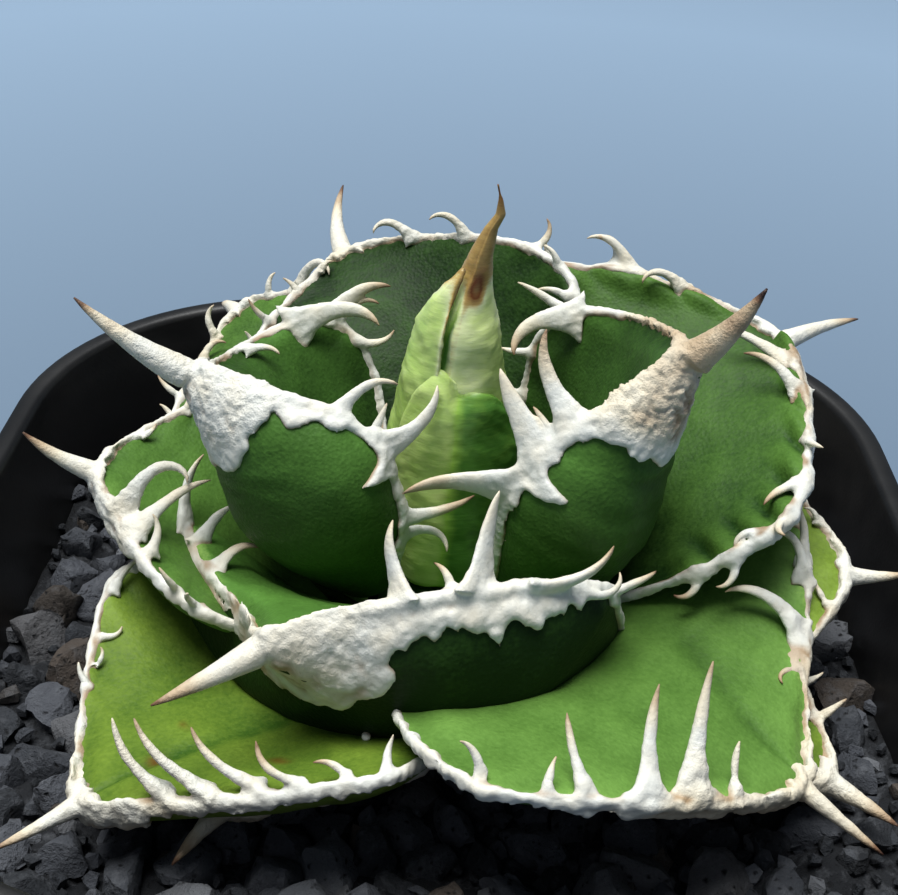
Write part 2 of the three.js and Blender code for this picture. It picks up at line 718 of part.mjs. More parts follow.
// Rough stones as relief: each grid point rises with the seeded stone that it lies on.
function soilBody() {
  const random = seeded(11);
  const stones = [];
  const pitch = soil.stone * 0.82;
  for (let x = -60; x <= 60; x += pitch) {
    for (let y = -60; y <= 60; y += pitch) {
      stones.push([x + pitch * (random() - 0.5), y + pitch * (random() - 0.5), random()]);
    }
  }
  const height = (x, y, edge) => {
    let best = Infinity;
    let rise = 0;
    for (const [sx, sy, level] of stones) {
      const distance = Math.hypot(x - sx, y - sy);
      if (distance < best) {
        best = distance;
        rise = 0.9 - 2.8 * (distance / soil.stone) ** 2 + 0.8 * level;
      }
    }
    const hollow = soil.dip * Math.exp(-((Math.hypot(x, y) / soil.dipRadius) ** 4));
    return soilTop - hollow + soil.relief * rise * (edge ? 0 : 1);
  };
  const [topHalf, topCorner] = potAt(soilTop);
  const [lowHalf, lowCorner] = potAt(pot.footLift + pot.floor);
  const inset = pot.wall + soil.wallClear;
  const points = [];
  const index = [];
  const n = soil.cells;
  const at = (i, j) => i * (n + 1) + j;
  for (let i = 0; i <= n; i += 1) {
    for (let j = 0; j <= n; j += 1) {
      const u = (2 * i) / n - 1;
      const v = (2 * j) / n - 1;
      const angle = Math.atan2(v, u);
      const share = Math.max(Math.abs(u), Math.abs(v));
      const reach = share * squareReach(topHalf - inset, topCorner - inset, angle);
      const edge = i === 0 || j === 0 || i === n || j === n;
      const x = reach * Math.cos(angle);
      const y = reach * Math.sin(angle);
      points.push(new THREE.Vector3(x, y, height(x, y, edge)));
      if (i < n && j < n) {
        index.push(at(i, j), at(i + 1, j), at(i + 1, j + 1), at(i, j), at(i + 1, j + 1), at(i, j + 1));
      }
    }
  }
  const rim = [];
  const sides = [(k) => at(k, 0), (k) => at(n, k), (k) => at(n - k, n), (k) => at(0, n - k)];
  for (const side of sides) {
    for (let k = 0; k < n; k += 1) {
      rim.push(side(k));
    }
  }
  const low = points.length;
  const bottom = pot.footLift + pot.floor + soil.clear;
  rim.forEach((id) => {
    const angle = Math.atan2(points[id].y, points[id].x);
    const reach = squareReach(lowHalf - inset, lowCorner - inset, angle);
    points.push(new THREE.Vector3(reach * Math.cos(angle), reach * Math.sin(angle), bottom));
  });
  rim.forEach((id, k) => {
    const next = (k + 1) % rim.length;
    index.push(id, low + k, low + next, id, low + next, rim[next]);
    if (k > 0 && k + 1 < rim.length) {
      index.push(low, low + k + 1, low + k);
    }
  });
  const hole = new THREE.CylinderGeometry(stem.radius + soil.clear, stem.radius + soil.clear, 40, 24);
  hole.rotateX(Math.PI / 2);
  hole.translate(0, 0, soilTop - stem.root + 20);
  return toSolid(closed(points, index)).subtract(toSolid(hole));
}

// The stem's lower end stands at the bottom of its hole.
function stemBody(grow = 0) {
  const length = stem.root + stem.top - soil.clear;
  const body = new THREE.CylinderGeometry(stem.radius + grow, stem.radius + grow, length + grow, 20);
  body.rotateX(Math.PI / 2);
  body.translate(0, 0, soil.clear - stem.root + (length + grow) / 2);
  return toSolid(body);
}

function budBody(stations, grow = 0) {
  const ahead = new THREE.Vector3(1, 0, 0);
  const back = new THREE.Vector3(0, 1, 0);
  return loft(stations.map(([height, lean, half]) => (
    ringAt(new THREE.Vector3(lean, 0, height), ahead, back, half + grow, half + grow, bud.sides)
  )));
}

// The bud's lean and half width at a height.
function budAt(height) {
  const next = bud.body.findIndex((station) => station[0] >= height);
  if (next < 1) {
    return next < 0 ? bud.body.at(-1).slice(1) : bud.body[0].slice(1);
  }
  const [a, b] = [bud.body[next - 1], bud.body[next]];
  const share = (height - a[0]) / (b[0] - a[0]);
  return [mix(a[1], b[1], share), mix(a[2], b[2], share)];
}

// A leaf rolled round the bud, between two directions seen from above. It narrows to its tip.
function rolledLeaf({ from, to, low, high, thick, gap }, grow = 0) {
  const rows = 5;
  const steps = 8;
  const face = (raise) => Array.from({ length: rows + 1 }, (_, i) => {
    const share = i / rows;
    const height = mix(low - grow, high + grow, share);
    const [lean, half] = budAt(height);
    const middle = (from + to) / 2;
    const spread = ((to - from) / 2) * (1 - 0.75 * share ** 2.5) + grow * 4;
    const reach = half * (1 - 0.25 * Math.max(share - 0.75, 0)) + gap + raise;
    return Array.from({ length: steps + 1 }, (_unused, j) => {
      const angle = radians(mix(middle - spread, middle + spread, j / steps));
      return new THREE.Vector3(lean + reach * Math.cos(angle), reach * Math.sin(angle), height);
    });
  });
  return slab(face(thick + grow), face(-grow));
}

const group = new THREE.Group();

function addMesh(name, solid, colour, roughness, lift = 0) {
  const material = new THREE.MeshStandardMaterial({ color: colour, roughness, metalness: 0 });
  const mesh = new THREE.Mesh(toGeometry(solid), material);
  mesh.name = name;
  mesh.position.z = lift;
  group.add(mesh);
}

addMesh('pot', potBody(), colours.pot, 0.5);
addMesh('stem', stemBody(), colours.stem, 0.8, soilTop);

// From the middle outwards: each piece is cut by the room of those before it, then adds its own.
let taken = stemBody(seat);
function place(name, solid, colour, roughness) {
  addMesh(name, solid.subtract(taken), colour, roughness, soilTop);
}
place('bud', toSolid(budBody(bud.body)), colours.bud, 0.5);
taken = taken.add(toSolid(budBody(bud.body, seat)));
place('budSpine', toSolid(budBody(bud.spine)), colours.budSpine, 0.5);
taken = taken.add(toSolid(budBody(bud.spine, seat)));
place('budWrap', toSolid(rolledLeaf(wrap)), colours.bud, 0.5);
taken = taken.add(toSolid(rolledLeaf(wrap, seat)));
place('sheath', toSolid(rolledLeaf(sheath)), colours.blade, 0.5);
taken = taken.add(toSolid(rolledLeaf(sheath, seat)));
for (const [name, spec] of Object.entries(leaves)) {
  const form = new LeafForm(spec);
  const teeth = teethOf(form, name);
  place(`${name}_blade`, toSolid(bladeBody(form)), colours.blade, 0.45);
  place(`${name}_horn`, hornBody(form, teeth), colours.horn, 0.7);
  taken = taken.add(roomOf(form, teeth));
}
addMesh('grit', soilBody().subtract(taken.translate([0, 0, soilTop])), colours.grit, 0.95);

export default group;
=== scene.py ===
import math

import bmesh
import bpy
import numpy as np
from mathutils import Matrix, Vector
from mathutils.bvhtree import BVHTree


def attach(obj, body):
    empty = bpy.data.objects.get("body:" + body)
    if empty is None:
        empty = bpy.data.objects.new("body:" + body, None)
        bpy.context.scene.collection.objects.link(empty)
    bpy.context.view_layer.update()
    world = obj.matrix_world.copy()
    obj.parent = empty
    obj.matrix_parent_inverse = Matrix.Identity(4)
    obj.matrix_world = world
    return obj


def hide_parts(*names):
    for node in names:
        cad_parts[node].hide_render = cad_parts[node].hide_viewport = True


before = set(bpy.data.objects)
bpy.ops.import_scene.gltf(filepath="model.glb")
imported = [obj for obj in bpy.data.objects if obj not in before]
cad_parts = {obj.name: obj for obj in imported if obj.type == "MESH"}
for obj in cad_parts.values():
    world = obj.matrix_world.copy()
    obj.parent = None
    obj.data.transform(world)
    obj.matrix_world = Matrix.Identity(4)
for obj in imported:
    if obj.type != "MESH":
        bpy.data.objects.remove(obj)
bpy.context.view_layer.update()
print("frame loaded:", len(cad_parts), "solids")

# Lengths below are in millimetres, and heights of the plant count from the grit's level.
mm = 0.001
gritLevel = 91


def toLinear(hexColour):
    channels = [int(hexColour[k:k + 2], 16) / 255 for k in (1, 3, 5)]
    linear = [c / 12.92 if c <= 0.04045 else ((c + 0.055) / 1.055) ** 2.4 for c in channels]
    return (*linear, 1.0)


def feed(tree, node, inputs):
    # a socket is linked to the input, and anything else is its fixed value
    for key, value in inputs.items():
        if isinstance(value, bpy.types.NodeSocket):
            tree.links.new(value, node.inputs[key])
        else:
            node.inputs[key].default_value = value


def addNode(tree, kind, inputs=None, output=0, stops=(), **settings):
    # a node with its settings, links and ramp stops, which hands back one of its outputs, or all of them
    node = tree.nodes.new(kind)
    for key, value in settings.items():
        setattr(node, key, value)
    feed(tree, node, inputs or {})
    if stops:
        elements = node.color_ramp.elements
        while len(elements) < len(stops):
            elements.new(0.5)
        for element, (place, colour) in zip(elements, stops):
            element.position = place
            element.color = toLinear(colour) if isinstance(colour, str) else (colour, colour, colour, 1)
    return node.outputs if output is None else node.outputs[output]


def newMaterial(name, attributes=()):
    material = bpy.data.materials.new(name)
    material.use_nodes = True
    tree = material.node_tree
    coords = addNode(tree, "ShaderNodeTexCoord", output="Object")
    values = [addNode(tree, "ShaderNodeAttribute", output="Fac", attribute_name=key) for key in attributes]
    return material, tree, tree.nodes["Principled BSDF"], coords, *values


# Materials. Pattern sizes are in millimetres from one blob to the next. A noise: size, detail, roughness.

# Living agave skin: thick waxy cuticle over wet tissue. The eye gets a soft satin gloss, broad paler
# and darker patches, and a fine grain of cells.
skinPlan = {
    "noises": [(14, 3, 0.5), (0.6, 2, 0.6)], "cellSize": 0.45, "grainDepth": 0.16, "spot": "#5b3314",
    "colours": {
        "inner": ("#14290d", "#375822", "#517c34", "#8cab58"),
        "middle": ("#1d3813", "#496c2c", "#668d41", "#9ab75f"),
        "outer": ("#304f16", "#68812c", "#89a645", "#b6c972"),
    },
}


def makeSkin(name, colours):
    p = skinPlan
    material, tree, shader, coords, tone, spots = newMaterial(name, ("tone", "spot"))
    patches, grain = [addNode(tree, "ShaderNodeTexNoise", {"Vector": coords, "Scale": 1 / (size * mm),
                                                           "Detail": detail, "Roughness": rough})
                      for size, detail, rough in p["noises"]]
    cells = addNode(tree, "ShaderNodeTexVoronoi", {"Vector": coords, "Scale": 1 / (p["cellSize"] * mm)})
    shade = addNode(tree, "ShaderNodeMath", {0: patches, 1: 0.22, 2: -0.26}, operation="MULTIPLY_ADD")
    shade = addNode(tree, "ShaderNodeMath", {0: grain, 1: 0.3, 2: shade}, operation="MULTIPLY_ADD")
    shade = addNode(tree, "ShaderNodeMath", {0: tone, 1: shade}, operation="ADD")
    colour = addNode(tree, "ShaderNodeValToRGB", {0: shade}, stops=list(zip((0, 0.38, 0.72, 1), colours)))
    colour = addNode(tree, "ShaderNodeMix", {0: spots, 6: colour, 7: toLinear(p["spot"])}, 2, data_type="RGBA")
    height = addNode(tree, "ShaderNodeMath", {0: cells, 1: 0.5}, operation="MULTIPLY")
    height = addNode(tree, "ShaderNodeMath", {0: grain, 1: 0.6, 2: height}, operation="MULTIPLY_ADD")
    bump = addNode(tree, "ShaderNodeBump", {"Height": height, "Strength": 0.6, "Distance": p["grainDepth"] * mm})
    satin = addNode(tree, "ShaderNodeMath", {0: grain, 1: 0.2, 2: 0.42}, operation="MULTIPLY_ADD")
    feed(tree, shader, {"Base Color": colour, "Normal": bump, "Roughness": satin, "IOR": 1.42,
                        "Specular IOR Level": 0.17})
    return material


# Horn: the leaf's dried margin. It is chalky white where it has weathered, cream where it is younger,
# and brown at the points, with fine cracks and grains. Its noises are clouds, pits and the cap's crust.
hornPlan = {
    "ages": ("#d6d7d1", "#d8cfba", "#b9a488", "#7a5c46", "#38241d"), "seam": "#8d6c44",
    "noises": [(3.2, 4, 0.6), (0.5, 3, 0.65), (0.9, 4, 0.7)], "grainSize": 0.7, "grainDepth": 0.12, "crustDepth": 0.5,
}


def makeHorn(name):
    p = hornPlan
    material, tree, shader, coords, age, seam, crusty = newMaterial(name, ("age", "seam", "crust"))
    cloud, fine, coarse = [addNode(tree, "ShaderNodeTexNoise", {"Vector": coords, "Scale": 1 / (size * mm),
                                                                "Detail": detail, "Roughness": rough})
                           for size, detail, rough in p["noises"]]
    grains = addNode(tree, "ShaderNodeTexVoronoi", {"Vector": coords, "Scale": 1 / (p["grainSize"] * mm)})
    shade = addNode(tree, "ShaderNodeMath", {0: cloud, 1: 0.36, 2: -0.15}, operation="MULTIPLY_ADD")
    # the ramp's input holds the horn's age and also painted shade on its undersides
    shade = addNode(tree, "ShaderNodeMath", {0: age, 1: shade}, operation="ADD")
    colour = addNode(tree, "ShaderNodeValToRGB", {0: shade}, stops=list(zip((0, 0.3, 0.55, 0.8, 1), p["ages"])))
    pits = addNode(tree, "ShaderNodeValToRGB", {0: fine}, stops=[(0.28, 0.86), (0.45, 1.0)])
    colour = addNode(tree, "ShaderNodeMix", {0: 1.0, 6: colour, 7: pits}, 2, data_type="RGBA", blend_type="MULTIPLY")
    colour = addNode(tree, "ShaderNodeMix", {0: seam, 6: colour, 7: toLinear(p["seam"])}, 2, data_type="RGBA")
    height = addNode(tree, "ShaderNodeMath", {0: grains, 1: 0.5}, operation="MULTIPLY")
    height = addNode(tree, "ShaderNodeMath", {0: fine, 1: 0.6, 2: height}, operation="MULTIPLY_ADD")
    bump = addNode(tree, "ShaderNodeBump", {"Height": height, "Strength": 0.5, "Distance": p["grainDepth"] * mm})
    lumps = addNode(tree, "ShaderNodeMath", {0: coarse, 1: crusty}, operation="MULTIPLY")
    crust = addNode(tree, "ShaderNodeBump", {"Height": lumps, "Strength": 0.8, "Distance": p["crustDepth"] * mm,
                                             "Normal": bump})
    chalk = addNode(tree, "ShaderNodeMath", {0: fine, 1: 0.25, 2: 0.42}, operation="MULTIPLY_ADD")
    feed(tree, shader, {"Base Color": colour, "Normal": crust, "Roughness": chalk, "IOR": 1.5,
                        "Specular IOR Level": 0.35})
    return material


# The rolled bud: young tissue that has seen little light, pale and moist, with fine cross lines and a
# dry brown tip. Light bleeds through it a little.
budPlan = {
    "greens": ("#4b7a30", "#93bb50", "#cadc8e", "#e2e7b8"), "dries": ("#e2e7b8", "#b2965a", "#643415", "#7b6038"),
    "softSize": 4, "lineSize": 1.6, "streakSize": 1.2, "stretch": 5, "lineDepth": 0.15, "lightReach": 1.6,
}


def makeBudSkin(name):
    p = budPlan
    material, tree, shader, coords, tone, dry = newMaterial(name, ("tone", "dry"))
    across = addNode(tree, "ShaderNodeMapping", {"Vector": coords, "Scale": (1, 1, p["stretch"])})
    soft, lines, streaks = [addNode(tree, "ShaderNodeTexNoise", {"Vector": way, "Scale": 1 / (size * mm),
                                                                 "Detail": 3, "Roughness": rough})
                            for way, size, rough in ((coords, p["softSize"], 0.5), (across, p["lineSize"], 0.6),
                                                     (across, p["streakSize"], 0.6))]
    shade = addNode(tree, "ShaderNodeMath", {0: soft, 1: 0.44, 2: -0.3}, operation="MULTIPLY_ADD")
    shade = addNode(tree, "ShaderNodeMath", {0: lines, 1: 0.16, 2: shade}, operation="MULTIPLY_ADD")
    shade = addNode(tree, "ShaderNodeMath", {0: tone, 1: shade}, operation="ADD")
    green = addNode(tree, "ShaderNodeValToRGB", {0: shade}, stops=list(zip((0, 0.35, 0.7, 1), p["greens"])))
    woody = addNode(tree, "ShaderNodeMath", {0: streaks, 1: 0.25, 2: -0.12}, operation="MULTIPLY_ADD")
    woody = addNode(tree, "ShaderNodeMath", {0: dry, 1: woody}, operation="ADD")
    woody = addNode(tree, "ShaderNodeValToRGB", {0: woody}, stops=list(zip((0.3, 0.5, 0.8, 1), p["dries"])))
    share = addNode(tree, "ShaderNodeValToRGB", {0: dry}, stops=[(0.08, 0.0), (0.4, 1.0)])
    colour = addNode(tree, "ShaderNodeMix", {0: share, 6: green, 7: woody}, 2, data_type="RGBA")
    bump = addNode(tree, "ShaderNodeBump", {"Height": lines, "Strength": 0.35, "Distance": p["lineDepth"] * mm})
    gloss = addNode(tree, "ShaderNodeMath", {0: soft, 1: 0.2, 2: 0.3}, operation="MULTIPLY_ADD")
    feed(tree, shader, {"Base Color": colour, "Normal": bump, "Roughness": gloss, "IOR": 1.42,
                        "Subsurface Weight": 0.2, "Subsurface Radius": (0.9, 1.0, 0.35),
                        "Subsurface Scale": p["lightReach"] * mm})
    return material


# Lava grit: crushed porous basalt, matt, dark grey with some rusty grains, full of small holes. Its
# noises are dust, grit and the push that bends the holes out of round.
lavaPlan = {
    "tints": [(0, "#1a1c20"), (0.4, "#2e3136"), (0.74, "#464950"), (0.86, "#62656b"), (0.94, "#3a3531"),
               (1, "#4c4540")],
    "dust": "#6d7076", "hole": "#131417", "noises": [(2.6, 5, 0.7), (0.6, 4, 0.75)], "pushSize": 1.1, "push": 0.9,
    "poreSize": 1.25, "depth": 0.6,
}


def makeLava(name):
    p = lavaPlan
    material, tree, shader, coords, tint = newMaterial(name, ("stoneTint",))
    dust, grit = [addNode(tree, "ShaderNodeTexNoise", {"Vector": coords, "Scale": 1 / (size * mm),
                                                       "Detail": detail, "Roughness": rough})
                  for size, detail, rough in p["noises"]]
    base = addNode(tree, "ShaderNodeValToRGB", {0: tint}, stops=p["tints"])
    dusty = addNode(tree, "ShaderNodeValToRGB", {0: dust}, stops=[(0.5, 0.0), (0.78, 0.5)])
    colour = addNode(tree, "ShaderNodeMix", {0: dusty, 6: base, 7: toLinear(p["dust"])}, 2, data_type="RGBA")
    push = addNode(tree, "ShaderNodeTexNoise", {"Vector": coords, "Scale": 1 / (p["pushSize"] * mm), "Detail": 2}, 1)
    push = addNode(tree, "ShaderNodeVectorMath", {0: push, 1: (0.5, 0.5, 0.5)}, operation="SUBTRACT")
    push = addNode(tree, "ShaderNodeVectorMath", {0: push, "Scale": p["push"] * mm}, operation="SCALE")
    warped = addNode(tree, "ShaderNodeVectorMath", {0: coords, 1: push}, operation="ADD")
    pores = addNode(tree, "ShaderNodeTexVoronoi", {"Vector": warped, "Scale": 1 / (p["poreSize"] * mm)})
    spread = addNode(tree, "ShaderNodeMath", {0: dust, 1: 0.9, 2: -0.4}, operation="MULTIPLY_ADD")
    holes = addNode(tree, "ShaderNodeMath", {0: pores, 1: spread}, operation="ADD")
    holes = addNode(tree, "ShaderNodeValToRGB", {0: holes}, stops=[(0.08, 0.0), (0.3, 1.0)])
    # painted shade: the pores are coloured near-black, where shade falls inside them
    colour = addNode(tree, "ShaderNodeMix", {0: holes, 6: toLinear(p["hole"]), 7: colour}, 2, data_type="RGBA")
    height = addNode(tree, "ShaderNodeMath", {0: dust, 1: 1.6}, operation="MULTIPLY")
    height = addNode(tree, "ShaderNodeMath", {0: grit, 1: 0.8, 2: height}, operation="MULTIPLY_ADD")
    height = addNode(tree, "ShaderNodeMath", {0: holes, 1: 0.45, 2: height}, operation="MULTIPLY_ADD")
    bump = addNode(tree, "ShaderNodeBump", {"Height": height, "Strength": 1.0, "Distance": p["depth"] * mm})
    feed(tree, shader, {"Base Color": colour, "Normal": bump, "Roughness": 0.88, "Specular IOR Level": 0.25})
    return material


# Pot: injection-moulded black polypropylene, with a fine moulded grain, satin, and a little dust.
plasticPlan = {"black": "#0d0d0e", "dust": "#2b2a29", "noises": [(14, 5, 0.6), (0.5, 2, 0.5)], "grainDepth": 0.08}


def makePotPlastic(name):
    p = plasticPlan
    material, tree, shader, coords = newMaterial(name)
    dust, grain = [addNode(tree, "ShaderNodeTexNoise", {"Vector": coords, "Scale": 1 / (size * mm),
                                                        "Detail": detail, "Roughness": rough})
                   for size, detail, rough in p["noises"]]
    dusty = addNode(tree, "ShaderNodeValToRGB", {0: dust}, stops=[(0.45, 0.0), (0.8, 0.35)])
    colour = addNode(tree, "ShaderNodeMix", {0: dusty, 6: toLinear(p["black"]), 7: toLinear(p["dust"])}, 2,
                     data_type="RGBA")
    bump = addNode(tree, "ShaderNodeBump", {"Height": grain, "Strength": 0.25, "Distance": p["grainDepth"] * mm})
    satin = addNode(tree, "ShaderNodeMath", {0: dust, 1: 0.25, 2: 0.3}, operation="MULTIPLY_ADD")
    feed(tree, shader, {"Base Color": colour, "Normal": bump, "Roughness": satin, "IOR": 1.49})
    return material


skins = {key: makeSkin("waxyLeafSkin_" + key, colours) for key, colours in skinPlan["colours"].items()}
hornMaterial = makeHorn("chalkyHorn")
budMaterial = makeBudSkin("youngBudTissue")
lavaMaterial = makeLava("crushedLava")
potMaterial = makePotPlastic("blackPolypropylene")
print("materials ready")


# Mesh helpers

def waves(points, size, seed, count=26):
    # smooth noise, about -1 to 1, with bumps about `size` mm apart
    random = np.random.default_rng(seed)
    ways = random.normal(size=(count, 3))
    ways /= np.linalg.norm(ways, axis=1, keepdims=True)
    pitch = 2 * np.pi / size * random.uniform(0.55, 1.3, count)
    phase = random.uniform(0, 2 * np.pi, count)
    return np.sin(points @ (ways * pitch[:, None]).T + phase).sum(1) / math.sqrt(count)


def smoothStep(low, high, x):
    share = np.clip((x - low) / (high - low), 0, 1)
    return share * share * (3 - 2 * share)


def hump(gap, wide, power=2):
    # 1 at no gap, and falling off over the width
    return np.exp(-np.abs(gap / wide) ** power)


def tubePart(rings):
    # rings, rows x count x 3, as a closed tube: the walls between them and a fan over both ends
    rows, count, _ = rings.shape
    ring = np.arange(count)
    ahead = (ring + 1) % count
    low = (np.arange(rows - 1) * count)[:, None]
    walls = np.stack([low + ring, low + ahead, low + count + ahead, low + count + ring], -1).reshape(-1, 4)
    pairs = list(zip(ring.tolist(), ahead.tolist()))
    middle, last = rows * count, (rows - 1) * count
    fans = [(middle, b, a) for a, b in pairs] + [(middle + 1, last + a, last + b) for a, b in pairs]
    centres = np.stack([rings[0].mean(0), rings[-1].mean(0)])
    return np.concatenate([rings.reshape(-1, 3), centres]), walls.tolist() + fans


def joinParts(parts):
    points, faces, start = [], [], 0
    for places, polygons in parts:
        points.append(places)
        faces += [tuple(k + start for k in polygon) for polygon in polygons]
        start += len(places)
    return np.concatenate(points), faces


def makeObject(name, points, faces, material=None, lift=gritLevel):
    mesh = bpy.data.meshes.new(name)
    mesh.from_pydata(((points + (0, 0, lift)) * mm).tolist(), [], faces)
    mesh.update()
    mesh.shade_smooth()
    if material:
        mesh.materials.append(material)
    thing = bpy.data.objects.new(name, mesh)
    bpy.context.scene.collection.objects.link(thing)
    return thing


def setAttribute(thing, name, values):
    attribute = thing.data.attributes.new(name, "FLOAT", "POINT")
    attribute.data.foreach_set("value", np.asarray(values, np.float32))


def meshPoints(mesh):
    places = np.empty(len(mesh.vertices) * 3)
    mesh.vertices.foreach_get("co", places)
    return places.reshape(-1, 3) / mm


def turnOutward(thing):
    work = bmesh.new()
    work.from_mesh(thing.data)
    bmesh.ops.recalc_face_normals(work, faces=work.faces)
    work.to_mesh(thing.data)
    work.free()


def relaxed(places, edges, rounds, amount=0.5):
    count = len(places)
    degree = np.maximum(np.bincount(edges.ravel(), minlength=count), 1)[:, None]
    for _ in range(rounds):
        total = np.zeros_like(places)
        for axis in range(3):
            total[:, axis] = np.bincount(edges[:, 0], places[edges[:, 1], axis], count)
            total[:, axis] += np.bincount(edges[:, 1], places[edges[:, 0], axis], count)
        places = places + amount * (total / degree - places)
    return places


